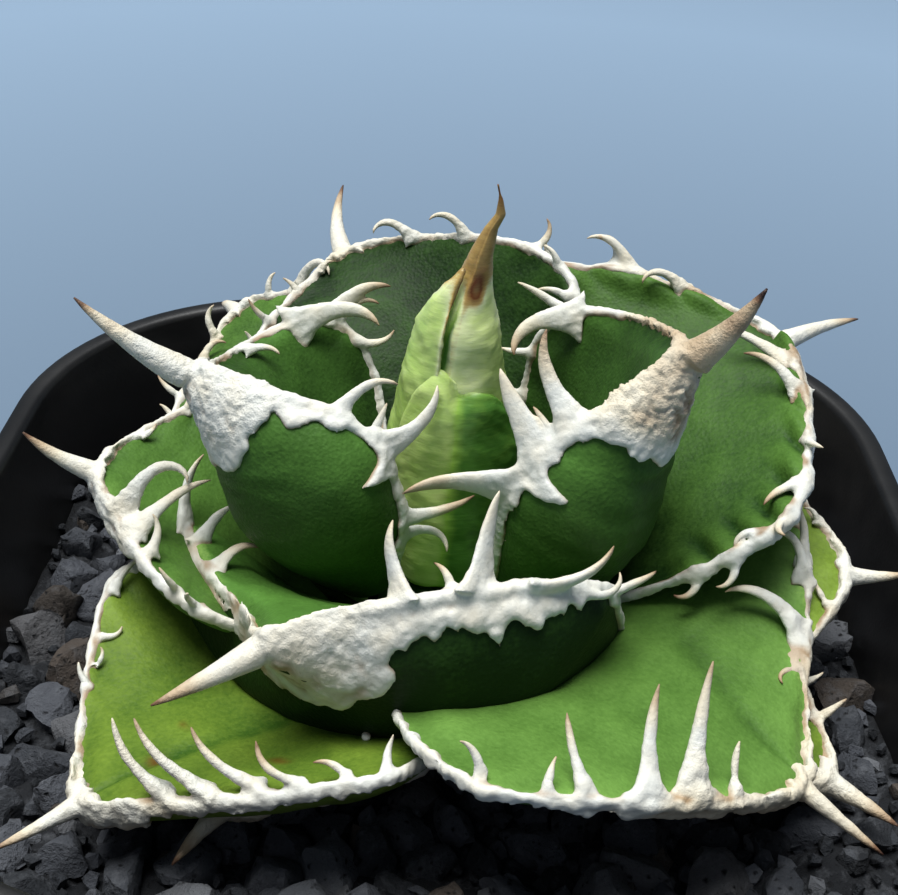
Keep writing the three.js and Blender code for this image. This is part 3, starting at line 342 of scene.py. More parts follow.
# The leaves, youngest first. turn: compass direction from above. foot: start, out from the axis and
# above the grit. rise: pitch at base, middle and tip. Pairs are left and right, looking out from the
# plant. spine: length, bend up, bend to the left. A tooth: place along the margin, length, lean to the
# tip, lift, change of lean, change of lift, and how fat if not 1. band: width of the horny margin.
# back, drop and far: where the cap starts at the margin, below, and on one side. capTone and crust: how
# brown and how grainy it is. Lists start with a face, 1 above and -1 below, then places from base to
# tip (0 to 1) and from right to left (-1 to 1). A drop's second value is its side.
leafPlan = {
    "leafA": {
        "turn": 192, "sweep": -10, "foot": (9, 9), "length": 35, "rise": (66, 72, 28), "half": (14, 25),
        "cup": (88, 82), "twist": 32, "taper": 1.5, "thick": 11, "back": 0.8, "drop": 0.1, "spine": (14.7, 17, -6),
        "dents": [(-1, 0.6, -0.3, 6, 0.12)],
        "skin": "inner", "root": 1.8, "band": 0.9, "far": (-1, 0.94), "capTone": 0.05, "crust": 0.8, "crumple": 0.2,
        "lobe": 0.75, "voxel": 0.27, "drops": [(-1, 1, 0.5, 2.7, 1.0), (-1, 1, 0.76, 1.3, 1.6)],
        "left": [(0.68, 8.5, -40, 24, -60, -35), (0.58, 4.5, 10, 26, 5, 0), (0.54, 10, 15, 20, 55, 15, 1.4),
                 (0.5, 4, -140, -33, -60, 10), (0.3, 9, 15, 12, 20, 10), (0.22, 7.5, -5, 0, -80, -70)],
        "right": [(0.7, 12.5, -110, 35, -85, -15, 1.5), (0.6, 10.5, -55, 23, -60, 13, 1.4),
                  (0.57, 7.5, -45, 20, -85, 13), (0.83, 4.5, -150, 35, -50, -40), (0.5, 6.5, -35, 23, 75, 10)],
        "prints": [(-1, 0.46, 0.1, 9, 10, 0.22), (-1, 0.5, 0.15, 5.5, 6, 0.12)],
    },
    "leafB": {
        "turn": 335, "sweep": 8, "foot": (9, 6), "length": 43, "rise": (69, 88, 46), "half": (24, 10),
        "cup": (85, 70), "twist": -3, "taper": 1.5, "thick": 11, "back": 0.79, "drop": 0.06, "spine": (11, 22, 3),
        "dents": [(-1, 0.52, 0.35, 8, 0.26), (-1, 0.4, -0.2, 6, 0.12)],
        "skin": "inner", "root": 1.9, "band": 1.0, "far": (1, 0.94), "capTone": 0.42, "crust": 0.8, "crumple": 0.2,
        "wrinkle": 0.13, "lobe": 0.55, "voxel": 0.27, "drops": [(-1, -1, 0.6, 2.6, 1.3), (-1, -1, 0.8, 1.8, 1.6)],
        "left": [(0.69, 11, -125, 41, -105, -30, 1.5), (0.67, 3, 175, -9, 30, 28), (0.66, 8.5, -35, 34, -10, 10),
                 (0.5, 5, -20, 30, 30, 0), (0.36, 4, 20, 30, 20, 0)],
        "right": [(0.74, 11.5, 30, 56, 65, -20, 1.3), (0.68, 5, 5, 55, -20, -5), (0.64, 10.5, 20, 47, 20, -5, 1.9),
                  (0.62, 3.5, -115, -40, -70, -30), (0.52, 12.5, -20, 1, -15, -30, 1.6),
                  (0.44, 4, -135, -40, 45, -10)],
        "prints": [(-1, 0.5, -0.2, 9, 12, 0.18)],
    },
    "leafI": {
        "turn": 112, "sweep": 0, "foot": (8, 6), "length": 44.5, "rise": (44, 48, 10), "half": (18, 28.5),
        "cup": (42, 60), "twist": -20, "taper": 1.6, "thick": 7, "spine": (16.4, 11, -31),
        "skin": "inner", "band": 1.0, "root": 1.5, "capTone": 0.12, "crust": 0.6, "tone": -0.2, "voxel": 0.3,
        "left": [(0.94, 2.5, 110, 24, 60, -60), (0.87, 3.5, -5, 31, -25, -15), (0.76, 5.5, -20, 35, 40, 10),
                 (0.64, 3.5, 15, 30, -30, 0), (0.52, 5, -10, 35, 40, 10)],
        "right": [(0.91, 7.5, 95, 30, 110, -50), (0.82, 7.5, 76, 40, 120, -20), (0.7, 6, -10, 0, 70, 50),
                  (0.6, 4.5, 60, 30, 60, 0), (0.52, 4.5, 145, 38, 45, 5)],
        "prints": [(1, 0.5, 0.1, 12, 9, 0.2)],
    },
    "leafC": {
        "turn": 252, "sweep": -35, "foot": (10, 3), "length": 33, "rise": (55, 58, -10), "half": (26, 31),
        "cup": (38, 36), "twist": 38, "taper": 1.15, "neck": 0.95, "peak": 0.38, "thick": 14, "back": 0.75,
        "drop": 0.03, "spine": (12, -5, -12), "skin": "inner", "root": 1.6, "band": 0.6, "ragged": 1.2,
        # C's tone paints light on its upper face, which lies under A; its under tone paints shade on the lower face,
        # which faces down and forward
        "notch": (1, 0.8, 0.5), "far": (-1, 0.75), "capTone": 0.15, "crust": 0.35, "tone": 0.3, "crumple": 0.25,
        "lobe": 1.0, "under": -0.42, "voxel": 0.27,
        "drops": [(-1, 1, 0.63, 2.3, 0.9), (-1, 1, 0.56, 1.7, 1.0), (-1, 1, 0.73, 1.5, 1.1), (1, -1, 0.52, 2, 1.6)],
        "beads": [(1, 0.62, 0.2, 0.6), (-1, 0.6, 0.35, 0.5), (-1, 0.55, 0.1, 0.45)],
        "left": [(0.76, 8.5, -15, 80, -140, -25, 1.7), (0.68, 3.5, 85, 65, 60, -40),
                 (0.64, 10.5, -35, 63, 0, -15, 1.9), (0.61, 3, -165, -70, -60, 0),
                 (0.55, 10, -50, 13, 20, 42, 1.5), (0.46, 6.5, -45, 5, 45, 100), (0.34, 6.5, -10, 5, -60, 30)],
        "right": [(0.64, 12, 165, 45, -55, -55, 1.3), (0.53, 13, -150, 72, -125, -10, 1.4),
                  (0.45, 10, -62, 58, -40, 40, 1.4), (0.41, 6.5, -36, 30, -50, 80), (0.3, 6, -40, 45, 40, 20)],
        "creases": [(1, 0.35, -0.55, 0.62, 0.1, 0.35, 1.2)],
        "prints": [(-1, 0.5, 0.25, 9, 12, 0.2)],
    },
    "leafH": {
        "turn": 30, "sweep": -4, "foot": (9, 5.5), "length": 47, "rise": (36, 45, 15), "half": (29, 27),
        "cup": (50, 27), "twist": 9, "taper": 1.6, "thick": 7, "spine": (12, -19, 1),
        "skin": "middle", "band": 0.6, "bulge": 3, "capTone": 0.1, "crust": 0.4, "tone": -0.1, "voxel": 0.28,
        "left": [(0.88, 8, -115, 22, -95, -50), (0.8, 9.5, -72, 20, -75, -25), (0.76, 7.5, -50, 25, -150, 35),
                 (0.66, 5, -30, 30, 40, 0), (0.56, 6, 0, 35, -60, 10), (0.46, 4, 20, 30, 40, 0)],
        "right": [(0.96, 11, 150, 25, 20, -10), (0.9, 9.5, 145, 35, 50, -25), (0.81, 5, -60, 20, 25, -25),
                  (0.7, 6.5, -118, 15, 20, -15), (0.6, 5, -60, 10, 60, -30), (0.52, 4.5, -90, 0, 60, -60),
                  (0.43, 5, -65, -20, -70, 55), (0.34, 5, -65, -5, -60, 70)],
        "creases": [(1, s, -1.02, s + 0.01, -0.8, 0.4, 0.8) for s in (0.385, 0.475, 0.56, 0.65, 0.755)],
        "prints": [(1, 0.45, 0.3, 10, 9, 0.25), (1, 0.62, 0.5, 6, 5, 0.2)],
    },
    "leafE": {
        "turn": 174, "sweep": 11, "foot": (9, 2.5), "length": 37.5, "rise": (14, 43, 22), "half": (21, 22),
        "cup": (30, 46), "twist": -4, "taper": 1.6, "thick": 6.5, "spine": (9.5, 26, -4),
        "skin": "middle", "band": 0.9, "capTone": 0.08, "crust": 0.4, "tone": 0.09, "voxel": 0.28,
        "left": [(0.9, 12, -175, 42, 125, -90), (0.85, 11, 175, 47, 35, -15), (0.78, 5, 90, 55, -80, -30),
                 (0.66, 5, 20, 30, 60, 0), (0.55, 5, 40, 25, -60, 20)],
        "right": [(0.91, 2.5, -90, 37, 45, 15), (0.8, 3, -45, 33, -30, 5), (0.7, 5, -10, 30, 40, 0),
                  (0.58, 3.5, 20, 35, -40, 0)],
    },
    "leafF": {
        "turn": 312, "sweep": 15, "foot": (9, 6), "length": 44, "rise": (24, 8, -20), "half": (33, 30),
        "cup": (38, 15), "twist": -12, "taper": 1.25, "thick": 7, "spine": (10, -5, 6),
        "skin": "middle", "band": 0.8, "ragged": 1.5, "glow": 5, "capTone": 0.25, "crust": 0.5, "crumple": 0.8,
        "tone": 0.19, "root": 1.0, "slim": 0.8, "under": -0.2, "voxel": 0.27, "drops": [(1, 1, 0.83, 3.2, 1.8)],
        "left": [(0.79, 11.5, -175, 20, -50, -40, 1.4), (0.85, 4.5, 125, 10, -90, 0),
                 (0.7, 10, -145, 28, -115, -50), (0.67, 8.5, -100, 35, -35, 0), (0.58, 4.5, -60, 30, 40, 0),
                 (0.5, 5, 20, 30, -40, 20)],
        "right": [(0.7, 7.5, -155, 47, -10, 12), (0.78, 10.5, 175, 56, -15, 12, 1.3),
                  (0.84, 13, 170, 56, -5, 12, 1.2), (0.9, 5, 168, 47, -20, 12), (0.65, 3, 162, 56, -30, 0),
                  (0.56, 4.5, -90, 50, 60, -40)],
        "creases": [(1, 0.55, 0.25, 0.95, 0.1, 0.3, 1.0)],
    },
    "leafK": {
        "turn": 84, "sweep": 0, "foot": (9, 4), "length": 43, "rise": (22, 34, 5), "half": (17, 18),
        "cup": (35, 35), "twist": 6, "taper": 1.5, "thick": 6.5, "spine": (10, 8, 6),
        "skin": "middle", "band": 1.4, "capTone": 0.15, "crust": 0.5, "voxel": 0.36,
    },
    "leafD": {
        "turn": 230, "sweep": -7, "foot": (8, 1), "length": 45, "rise": (4, 16, -2), "half": (25, 26),
        "cup": (28, 50), "twist": 18, "taper": 1.25, "thick": 7, "spine": (9, 0, -5),
        "skin": "outer", "band": 0.7, "ragged": 1.4, "root": 1.0, "slim": 0.75, "glow": 5, "capTone": 0.12,
        "crust": 0.6, "crumple": 0.5, "lobe": 0.6, "tone": -0.08, "voxel": 0.27,
        "left": [(0.88, 10, 110, 60, 70, 27), (0.82, 11, 95, 53, 30, 30), (0.75, 9.5, 95, 50, 27, 33),
                 (0.69, 7, 102, 50, 100, 45), (0.62, 4, 93, 31, -23, -42), (0.55, 3.5, -90, 60, 100, 0)],
        "right": [(0.79, 3.5, -53, 36, -40, 15), (0.75, 2.5, -97, 36, 90, 5), (0.69, 3, -148, 25, 80, 30),
                  (0.6, 7.5, -110, 27, -40, 0), (0.5, 4.5, -40, 30, 60, 0)],
        "creases": [(1, 0.3, 0.2, 0.97, 0.05, 0.4, 1.3)],
        "spots": [(1, 0.62, 0.5, 0.8), (1, 0.8, 0.05, 0.9), (1, 0.68, -0.1, 0.5)],
    },
    "leafG": {
        "turn": 359, "sweep": -6, "foot": (9, 3.5), "length": 41.5, "rise": (16, 17, 4), "half": (28, 26),
        "cup": (35, 27), "twist": 16, "taper": 1.3, "thick": 6.5, "spine": (7, 8, 10),
        "skin": "outer", "band": 0.7, "root": 1.1, "slim": 0.8, "capTone": 0.1, "crust": 0.4, "tone": 0.15,
        "voxel": 0.3,
        "left": [(0.93, 3, -104, 25, -85, -45), (0.86, 4, -70, 32, -90, -40), (0.77, 3.5, -20, 30, 60, 0),
                 (0.68, 5.5, -40, 30, -60, 20), (0.58, 4, 20, 35, 40, 0)],
        "right": [(0.94, 3.5, 150, 25, -6, 7), (0.87, 4.5, 158, 33, -8, 6), (0.8, 3.5, 141, 44, 15, 0),
                  (0.72, 5, 120, 40, 60, -20), (0.62, 4, 60, 35, -40, 10)],
    },
    "leafJ": {
        "turn": 130, "sweep": -7, "foot": (9, 3), "length": 49, "rise": (23, 40, -5), "half": (19, 17),
        "cup": (29, 30), "twist": -32, "taper": 1.6, "thick": 6.5, "spine": (9, -24, -12),
        "skin": "middle", "band": 1.4, "capTone": 0.12, "crust": 0.4, "voxel": 0.3,
        "left": [(0.93, 6, 76, 50, 105, -35), (0.85, 5.5, 130, 20, 80, -50), (0.74, 5, 10, 35, 40, 0),
                 (0.63, 4, 40, 30, -50, 0), (0.52, 5, 0, 35, 40, 0)],
        "right": [(0.93, 4.5, -25, 33, -45, -40), (0.86, 11, -85, 25, -100, -50), (0.76, 4, 60, 35, 70, -50),
                  (0.65, 5, 0, 30, -40, 0)],
    },
    "leafL": {
        "turn": 236, "sweep": 2, "foot": (9, 1.5), "length": 31.5, "rise": (0, 2, -4), "half": (17, 17),
        "cup": (26, 26), "twist": 4, "taper": 1.4, "thick": 5, "spine": (8, -6, 4),
        "skin": "outer", "band": 1.3, "capTone": 0.2, "crust": 0.8, "voxel": 0.36,
    },
    "leafM": {
        "turn": 52, "sweep": -4, "foot": (9, 1), "length": 46, "rise": (6, 14, 0), "half": (22, 22),
        "cup": (30, 28), "twist": -8, "taper": 1.4, "thick": 6, "spine": (9, 4, -6),
        "skin": "outer", "band": 1.4, "capTone": 0.3, "crust": 0.7, "voxel": 0.36,
    },
    "leafQ": {
        "turn": 327, "sweep": 0, "foot": (9, 2.5), "length": 43, "rise": (3, 9, -6), "half": (20, 20),
        "cup": (22, 22), "twist": -5, "taper": 1.4, "thick": 5, "spine": (8, -4, -4),
        "skin": "outer", "band": 1.3, "capTone": 0.2, "crust": 0.9, "voxel": 0.36,
    },
}
edgeThick = 1.15  # of the blade at its margin
leafDefaults = {  # what a leaf has where its own row doesn't say
    "neck": 0.42, "peak": 0.55, "top": 0.965, "back": 0.92, "drop": 0.05, "prints": (), "creases": (),
    "spots": (), "crumple": 0.22, "beads": (), "tone": 0, "under": 0, "wrinkle": 0.03, "lobe": 1.1,
    "ragged": 0.8, "dents": (), "glow": 2.6, "root": 1.3, "bulge": 1, "drops": (), "inset": 6, "slim": 1,
    "notch": (1, 1, 0), "far": (1, 0.92),
}


class Leaf:
    def __init__(self, name, plan, seed):
        self.name = name
        self.seed = seed
        self.plan = {**leafDefaults, **plan}
        p = self.plan
        self.s = np.linspace(0, 1, 241)
        s = self.s
        low, middle, high = p["rise"]
        pitch = np.radians((1 - s) ** 2 * low + 2 * s * (1 - s) * middle + s * s * high)
        yaw = np.radians(p["turn"] + p["sweep"] * s)
        along = np.stack([np.cos(pitch) * np.cos(yaw), np.cos(pitch) * np.sin(yaw), np.sin(pitch)], 1)
        level = np.stack([-np.sin(yaw), np.cos(yaw), 0 * s], 1)
        up = np.cross(along, level)
        roll = np.radians(p["twist"] * s)[:, None]
        self.along = along
        self.side = level * np.cos(roll) + up * np.sin(roll)
        self.normal = up * np.cos(roll) - level * np.sin(roll)
        steps = (along[1:] + along[:-1]) / 2 * p["length"] / (len(s) - 1)
        turn = math.radians(p["turn"])
        start = np.array([p["foot"][0] * math.cos(turn), p["foot"][0] * math.sin(turn), p["foot"][1]])
        self.place = start + np.concatenate([np.zeros((1, 3)), np.cumsum(steps, 0)])
        self.teeth = self.listTeeth()

    def listTeeth(self):
        # a hidden leaf has none listed: large and small in turn, leaning both ways
        random = np.random.default_rng(self.seed + 50)
        teeth = []
        for key, hand in (("left", 1), ("right", -1)):
            listed = self.plan.get(key)
            if listed is None:
                listed = []
                for k, at in enumerate(np.arange(0.36, 0.9, 0.09)):
                    reach = random.uniform(4.6, 7) if k % 2 == 0 else random.uniform(2.4, 3.6)
                    lean = random.uniform(-40, 10) if k % 2 == 0 else random.uniform(-10, 40)
                    listed.append((at, reach, lean, random.uniform(20, 45), random.uniform(-40, 50), 15))
            teeth += [(hand, *tooth) for tooth in listed]
        return teeth

    def frameAt(self, s):
        # place, way along, way to the left and way up
        return [np.stack([np.interp(s, self.s, table[:, k]) for k in range(3)], -1)
                for table in (self.place, self.along, self.side, self.normal)]

    def half(self, s, left):
        # the leaf's half width, less the step in its margin
        p = self.plan
        x = np.clip((s - p["peak"]) / (1 - p["peak"]), 0, 1)
        rising = p["neck"] + (1 - p["neck"]) * np.sin(np.pi / 2 * np.clip(s / p["peak"], 0, 1))
        share = np.where(s < p["peak"], rising, 1 - x ** p["taper"])
        hand, at, cut = p["notch"]
        share = share * (1 - cut * smoothStep(at - 0.06, at + 0.04, s) * np.where(left == (hand > 0), 1, 0))
        return np.where(left, p["half"][0], p["half"][1]) * (0.07 + 0.93 * share)

    def swell(self, s, left):
        # the margin swells out under each tooth and draws in between them
        total = np.zeros(np.broadcast(s, left).shape)
        for hand, at, reach, *_ in self.teeth:
            bump = (0.1 + 0.04 * reach) * self.plan["bulge"] * hump((s - at) * self.plan["length"], 1 + 0.16 * reach)
            total = np.maximum(total, np.where(left == (hand > 0), bump, 0))
        return total

    def lobe(self, s, hand):
        # how far the horn runs down the leaf below each tooth
        total = 0 * s
        for side, at, reach, *rest in self.teeth:
            if side == hand:
                wide = (0.7 + 0.085 * reach) * (rest[4] if len(rest) > 4 else 1)
                total = np.maximum(total, (0.2 + 0.14 * reach) * hump((s - at) * self.plan["length"], wide))
        return total

    def pucker(self, s, v):
        # the skin rises a little where a tooth pulls at the margin
        left = v >= 0
        toRim = np.maximum(self.half(s, left) - np.abs(v), 0)
        return ((self.swell(s, left) - 0.25) * 1.6 - 0.2) * 1.8 * hump(toRim - 1.8, 2.6)

    def rim(self, s, left):
        wavy = smoothStep(0.1, 0.3, s) * (1 - smoothStep(0.9, 1, s))
        return self.half(s, left) + (self.swell(s, left) - 0.25) * wavy

    def depth(self, s, t):
        # how thick the leaf is, at a share t of its half width
        thick = self.plan["thick"]
        low = thick * (0.45 + 0.55 * np.sin(np.pi / 2 * np.clip(s / 0.45, 0, 1)))
        high = thick - (thick - 3.4) * np.clip((s - 0.45) / 0.55, 0, 1) ** 1.5
        body = np.where(s < 0.45, low, high)
        return edgeThick + (body - edgeThick) * (1 - np.clip(np.abs(t), 0, 1) ** 2.2) ** 0.8

    def point(self, s, v, lift):
        # a place on the cupped leaf: v along the arc to the left, lift off its upper face
        s, v, lift = np.broadcast_arrays(s, v, lift)
        place, _, side, normal = self.frameAt(s)
        left = v >= 0
        cup = np.radians(np.where(left, self.plan["cup"][0], self.plan["cup"][1]) * (1 - 0.35 * s))
        radius = np.where(left, self.plan["half"][0], self.plan["half"][1]) / cup
        angle = np.abs(v) / radius
        sign = np.sign(v)
        tilted = normal * np.cos(angle)[..., None] - side * (sign * np.sin(angle))[..., None]
        across = side * (sign * radius * np.sin(angle))[..., None]
        return place + across + normal * (radius * (1 - np.cos(angle)))[..., None] + tilted * lift[..., None]

    def edgeFrame(self, s, hand):
        # place on the margin, way along it, way out of it and way up
        left = hand > 0
        rim = [self.point(x, hand * self.rim(x, left), -edgeThick / 2) for x in (s, s + 0.01, s - 0.01)]
        run = rim[1] - rim[2]
        run /= np.linalg.norm(run)
        up = self.point(s, hand * self.rim(s, left), 1.0) - rim[0]
        out = hand * np.cross(up, run)
        out /= np.linalg.norm(out)
        up = hand * np.cross(run, out)
        return rim[0], run, out, up / np.linalg.norm(up)

    def end(self, t, lower):
        # where the cap starts
        p = self.plan
        middle = 1 - np.minimum(np.abs(t), 1)
        hand, far = p["far"]
        back = p["back"] + max(far - p["back"], 0) * smoothStep(-0.1, 0.5, t * hand)
        upper = back + (p["top"] - back) * np.minimum(middle * p["inset"], 1)
        return np.where(lower, back - p["drop"] * middle, upper)


def bladeMesh(leaf):
    # rings across the leaf: the upper face from right to left, then the lower face back
    p = leaf.plan
    fine = p["voxel"] < 0.3
    rows, columns = (118, 54) if fine else (76, 34)
    x = np.linspace(-1, 1, columns)
    t = 0.55 * x + 0.45 * np.sin(np.pi / 2 * x)
    s = np.linspace(0, 0.985, rows)[:, None]
    left = (t >= 0)[None, :] & np.ones((rows, 1), bool)
    v = t * (leaf.rim(s, left) - 0.5)
    toRim = (1 - np.abs(t)) * leaf.half(s, left)
    flat = leaf.point(s, v, 0.0)
    shape = v.shape
    sample = flat.reshape(-1, 3)
    pucker = leaf.pucker(s, v)
    # painted shade and light: the upper face is toned darker where the skin dips between teeth, and a little lighter
    # where it rises
    puckerShading = 0.22 * np.minimum(pucker, 0.3)
    broad = waves(sample, 9, leaf.seed).reshape(shape)
    small = waves(sample, 3.2, leaf.seed + 1).reshape(shape)
    relief = {}
    printsAndCreaseShade = {}
    calm = smoothStep(-0.5, 3.5, toRim)
    for face in (1, -1):
        lift = (0.16 * broad + 0.035 * small) * calm + (0.5 * pucker if face > 0 else -0.25 * pucker)
        shade = np.zeros(shape)
        for side, sAt, tAt, longWay, wideWay, depth in p["prints"]:
            if side == face:
                q = np.hypot((s - sAt) * p["length"] / longWay, (t - tAt) * leaf.half(s, left) / wideWay)
                ring = hump(q - 1, 0.1) * smoothStep(-0.2, 0.4, s - sAt)
                lift = lift + depth * ring
                shade = shade + 0.5 * ring
        for side, sOne, tOne, sTwo, tTwo, depth, wide in p["creases"]:
            if side == face:
                one = np.array([sOne * p["length"], tOne * 20])
                way = np.array([sTwo * p["length"], tTwo * 20]) - one
                dx = s * p["length"] - one[0] + 0 * v
                dy = v * 20 / np.maximum(leaf.half(s, left), 4) - one[1]
                share = np.clip((dx * way[0] + dy * way[1]) / (way @ way), 0, 1)
                gap = np.hypot(dx - share * way[0], dy - share * way[1])
                line = hump(gap, wide)
                lift = lift - depth * line
                # the tone is also painted darker along the crease: painted shade in the groove
                shade = shade - 0.55 * line
        for side, sAt, tAt, wide, deep in p["dents"]:
            if side == face:
                gap = np.hypot((s - sAt) * p["length"], (t - tAt) * leaf.half(s, left))
                lift = lift + deep * hump(gap, wide) * waves(sample, 3.0, leaf.seed + 5).reshape(shape)
        relief[face] = lift
        printsAndCreaseShade[face] = shade
    upper = leaf.point(s, v, relief[1])
    lower = leaf.point(s, v, -leaf.depth(s, t) - relief[-1])
    rings = np.concatenate([upper, lower[:, ::-1]], 1)
    # painted glow: the skin is toned paler towards the margin, as if light came through the thin edge
    rimGlow = np.exp(-toRim / p["glow"])
    base = 1 - smoothStep(0.12, 0.5, s)
    upTone = p["tone"] + 0.26 + 0.04 * broad + 0.03 * small + 0.3 * printsAndCreaseShade[1] + puckerShading
    upTone = upTone + (0.12 + 0.04 * p["glow"]) * rimGlow
    # painted shade: the lower face is toned darker towards the base, deep in the rosette
    downTone = p["under"] + 0.38 + 0.04 * broad + 0.02 * small + 0.12 * rimGlow - 0.1 * base + 0.3 * printsAndCreaseShade[-1]
    tone = np.concatenate([upTone, downTone[:, ::-1]], 1)
    spot = np.zeros(shape)
    for _, sAt, tAt, wide in p["spots"]:
        gap = np.hypot((s - sAt) * p["length"], (t - tAt) * leaf.half(s, left))
        spot = np.maximum(spot, hump(gap, wide))
    spots = np.concatenate([spot, 0 * spot], 1)
    points, faces = tubePart(rings)
    thing = makeObject(leaf.name + "_skin", points, faces, skins[p["skin"]])
    ends = [tone[0].mean(), tone[-1].mean()]
    setAttribute(thing, "tone", np.concatenate([tone.ravel(), ends]))
    setAttribute(thing, "spot", np.concatenate([0.9 * spots.ravel(), [0, 0]]))
    turnOutward(thing)
    return thing


def roundTube(centres, wides, flats, halfWide, halfFlat, count):
    angle = np.linspace(0, 2 * np.pi, count, endpoint=False)
    return (centres[:, None]
            + wides[:, None] * (np.cos(angle)[None, :, None] * np.asarray(halfWide)[:, None, None])
            + flats[:, None] * (np.sin(angle)[None, :, None] * np.asarray(halfFlat)[:, None, None]))


def toothPath(leaf, tooth, steps=16):
    hand, at, reach, lean, lift, curl, hook, *rest = tooth
    fat = (rest[0] if rest else 1) * leaf.plan["slim"]
    place, run, out, up = leaf.edgeFrame(at, hand)
    u = np.linspace(0, 1, steps)

    def way(x):
        bend = 1.25 * (x ** 2 - 1 / 3)
        turned = np.radians(lean + curl * bend)[:, None]
        raised = np.radians(lift + hook * bend)[:, None]
        return (out * np.cos(turned) + run * np.sin(turned)) * np.cos(raised) + up * np.sin(raised)

    start = place - out * 0.9 + up * (0.6 if abs(lean) > 80 else 0)
    moves = way((u[1:] + u[:-1]) / 2) * (reach / (steps - 1))
    centres = start + np.concatenate([np.zeros((1, 3)), np.cumsum(moves, 0)])
    headings = way(u)
    turned = math.radians(lean - curl * 0.4)
    wide = run * math.cos(turned) - out * math.sin(turned)
    wides, flats = [], []
    for heading in headings:
        wide = wide - heading * (wide @ heading)
        wide /= np.linalg.norm(wide)
        wides.append(wide)
        flats.append(np.cross(heading, wide))
    flare = np.exp(-u * 7)
    halfWide = fat * ((0.32 + 0.07 * reach) * (1 - u) ** 0.72 + (0.15 + 0.1 * reach) * flare) + 0.06
    halfFlat = (0.32 + 0.045 * reach) * (1 - u) ** 0.66 + 0.12 * flare + 0.06
    return u, centres, np.array(wides), np.array(flats), halfWide, halfFlat


def spinePath(leaf, steps=34):
    length, rise, sweep = leaf.plan["spine"]
    root = leaf.plan["root"]
    centre = leaf.point(np.array(1.0), np.array(0.0), np.array(-root))
    _, along, side, _ = leaf.frameAt(np.array(1.0))
    pitch, yaw = math.asin(along[2]), math.atan2(along[1], along[0])
    u = np.linspace(0, 1, steps)
    pitches = pitch + np.radians(rise * u)
    yaws = yaw + np.radians(sweep * u)
    ways = np.stack([np.cos(pitches) * np.cos(yaws), np.cos(pitches) * np.sin(yaws), np.sin(pitches)], 1)
    moves = (ways[1:] + ways[:-1]) / 2 * length / (steps - 1)
    centres = centre + np.concatenate([np.zeros((1, 3)), np.cumsum(moves, 0)])
    wides = np.repeat(side[None], steps, 0)
    wides -= ways * (wides * ways).sum(1, keepdims=True)
    wides /= np.linalg.norm(wides, axis=1, keepdims=True)
    flats = np.cross(ways, wides)
    radius = root * (1 - u) ** 0.85 + 0.1
    return u, centres, wides, flats, radius, radius


seamReach = 0.45
stripPlan = {"from": 0.06, "to": 0.985, "step": 0.35, "least": 0.45, "most": 2.8}


def marginStrip(leaf, hand):
    # the horny band that wraps the leaf's edge, widest at the foot of each tooth
    p = leaf.plan
    left = hand > 0
    q = stripPlan
    fine = np.linspace(q["from"], q["to"], 400)
    path = np.stack([fine * p["length"], leaf.rim(fine, left)], 1)
    run = np.concatenate([[0], np.cumsum(np.linalg.norm(np.diff(path, axis=0), axis=1))])
    s = np.interp(np.arange(0, run[-1], q["step"]), run, fine)
    rim = leaf.rim(s, left)
    slope = np.gradient(rim, s * p["length"])
    slant = np.hypot(1, slope)
    sample = leaf.point(s, hand * rim, 0.0)
    ragged = 0.2 * waves(sample, 2.6, leaf.seed + 7 * hand) + 0.1 * waves(sample, 1.2, leaf.seed + hand)
    ragged = p["ragged"] * ragged
    fade = 0.5 + 0.5 * smoothStep(0.02, 0.3, s)
    lobe = leaf.lobe(s, hand) * p["lobe"]
    width = np.clip((p["band"] * 0.3 + 0.7 * lobe + ragged) * fade, q["least"], q["most"])
    under = np.clip((p["band"] * 0.2 + 0.6 * lobe + ragged[::-1]) * fade, q["least"], q["most"])
    for face, side, at, deep, wide in p["drops"]:
        # a tongue of horn that hangs down the leaf
        if side == hand:
            tongue = deep * hump((s - at) * p["length"], wide, 1.6)
            if face > 0:
                width = np.maximum(width, tongue)
            else:
                under = np.maximum(under, tongue)
    width, under = np.minimum(width, 0.8 * rim), np.minimum(under, 0.8 * rim)
    thick = 0.32 + 0.08 * p["band"]

    def section(inward, rise, below=False):
        # a place that far in from the margin, square to it, above the upper or below the lower face
        at = s + inward * slope / slant / p["length"]
        v = np.maximum(rim - inward / slant, 0.1)
        if below:
            rise = rise - leaf.depth(at, v / np.maximum(leaf.rim(at, left) - 0.5, 1))
            push = np.minimum(-rise, 2) * 0.22 if np.max(inward) > 0.3 else 0
            at = at - push * slope / slant / p["length"]
            v = v + push / slant
        elif np.max(inward) > 0:
            rise = rise + 0.5 * leaf.pucker(at, hand * v)
        return leaf.point(at, hand * v, 0 * s + rise)

    rings = np.stack([
        section(width, -0.25), section(width * 0.92, 0.12), section(width * 0.55, thick),
        section(0.2, thick * 0.85), section(-0.25, 0.05), section(-0.45, -edgeThick / 2),
        section(-0.25, -edgeThick - 0.05), section(0.12, -0.35, True), section(under * 0.45, -0.55, True),
        section(under * 0.75, -0.55, True), section(under * 0.98, -0.15, True), section(under + 0.5, 0.6, True),
        section(np.minimum(width, 2) * 0.5, -edgeThick * 0.55),
    ], 1)
    # a round core, so that no thin place of the strip melts away
    core = np.stack([section(inward, rise) for inward, rise in
                     ((-0.4, -0.5), (-0.15, 0.05), (0.4, 0.1), (0.9, -0.2), (1.0, -0.7), (0.6, -1.15), (0, -1.2),
                      (-0.35, -0.9))], 1)
    return [tubePart(rings), tubePart(core)]


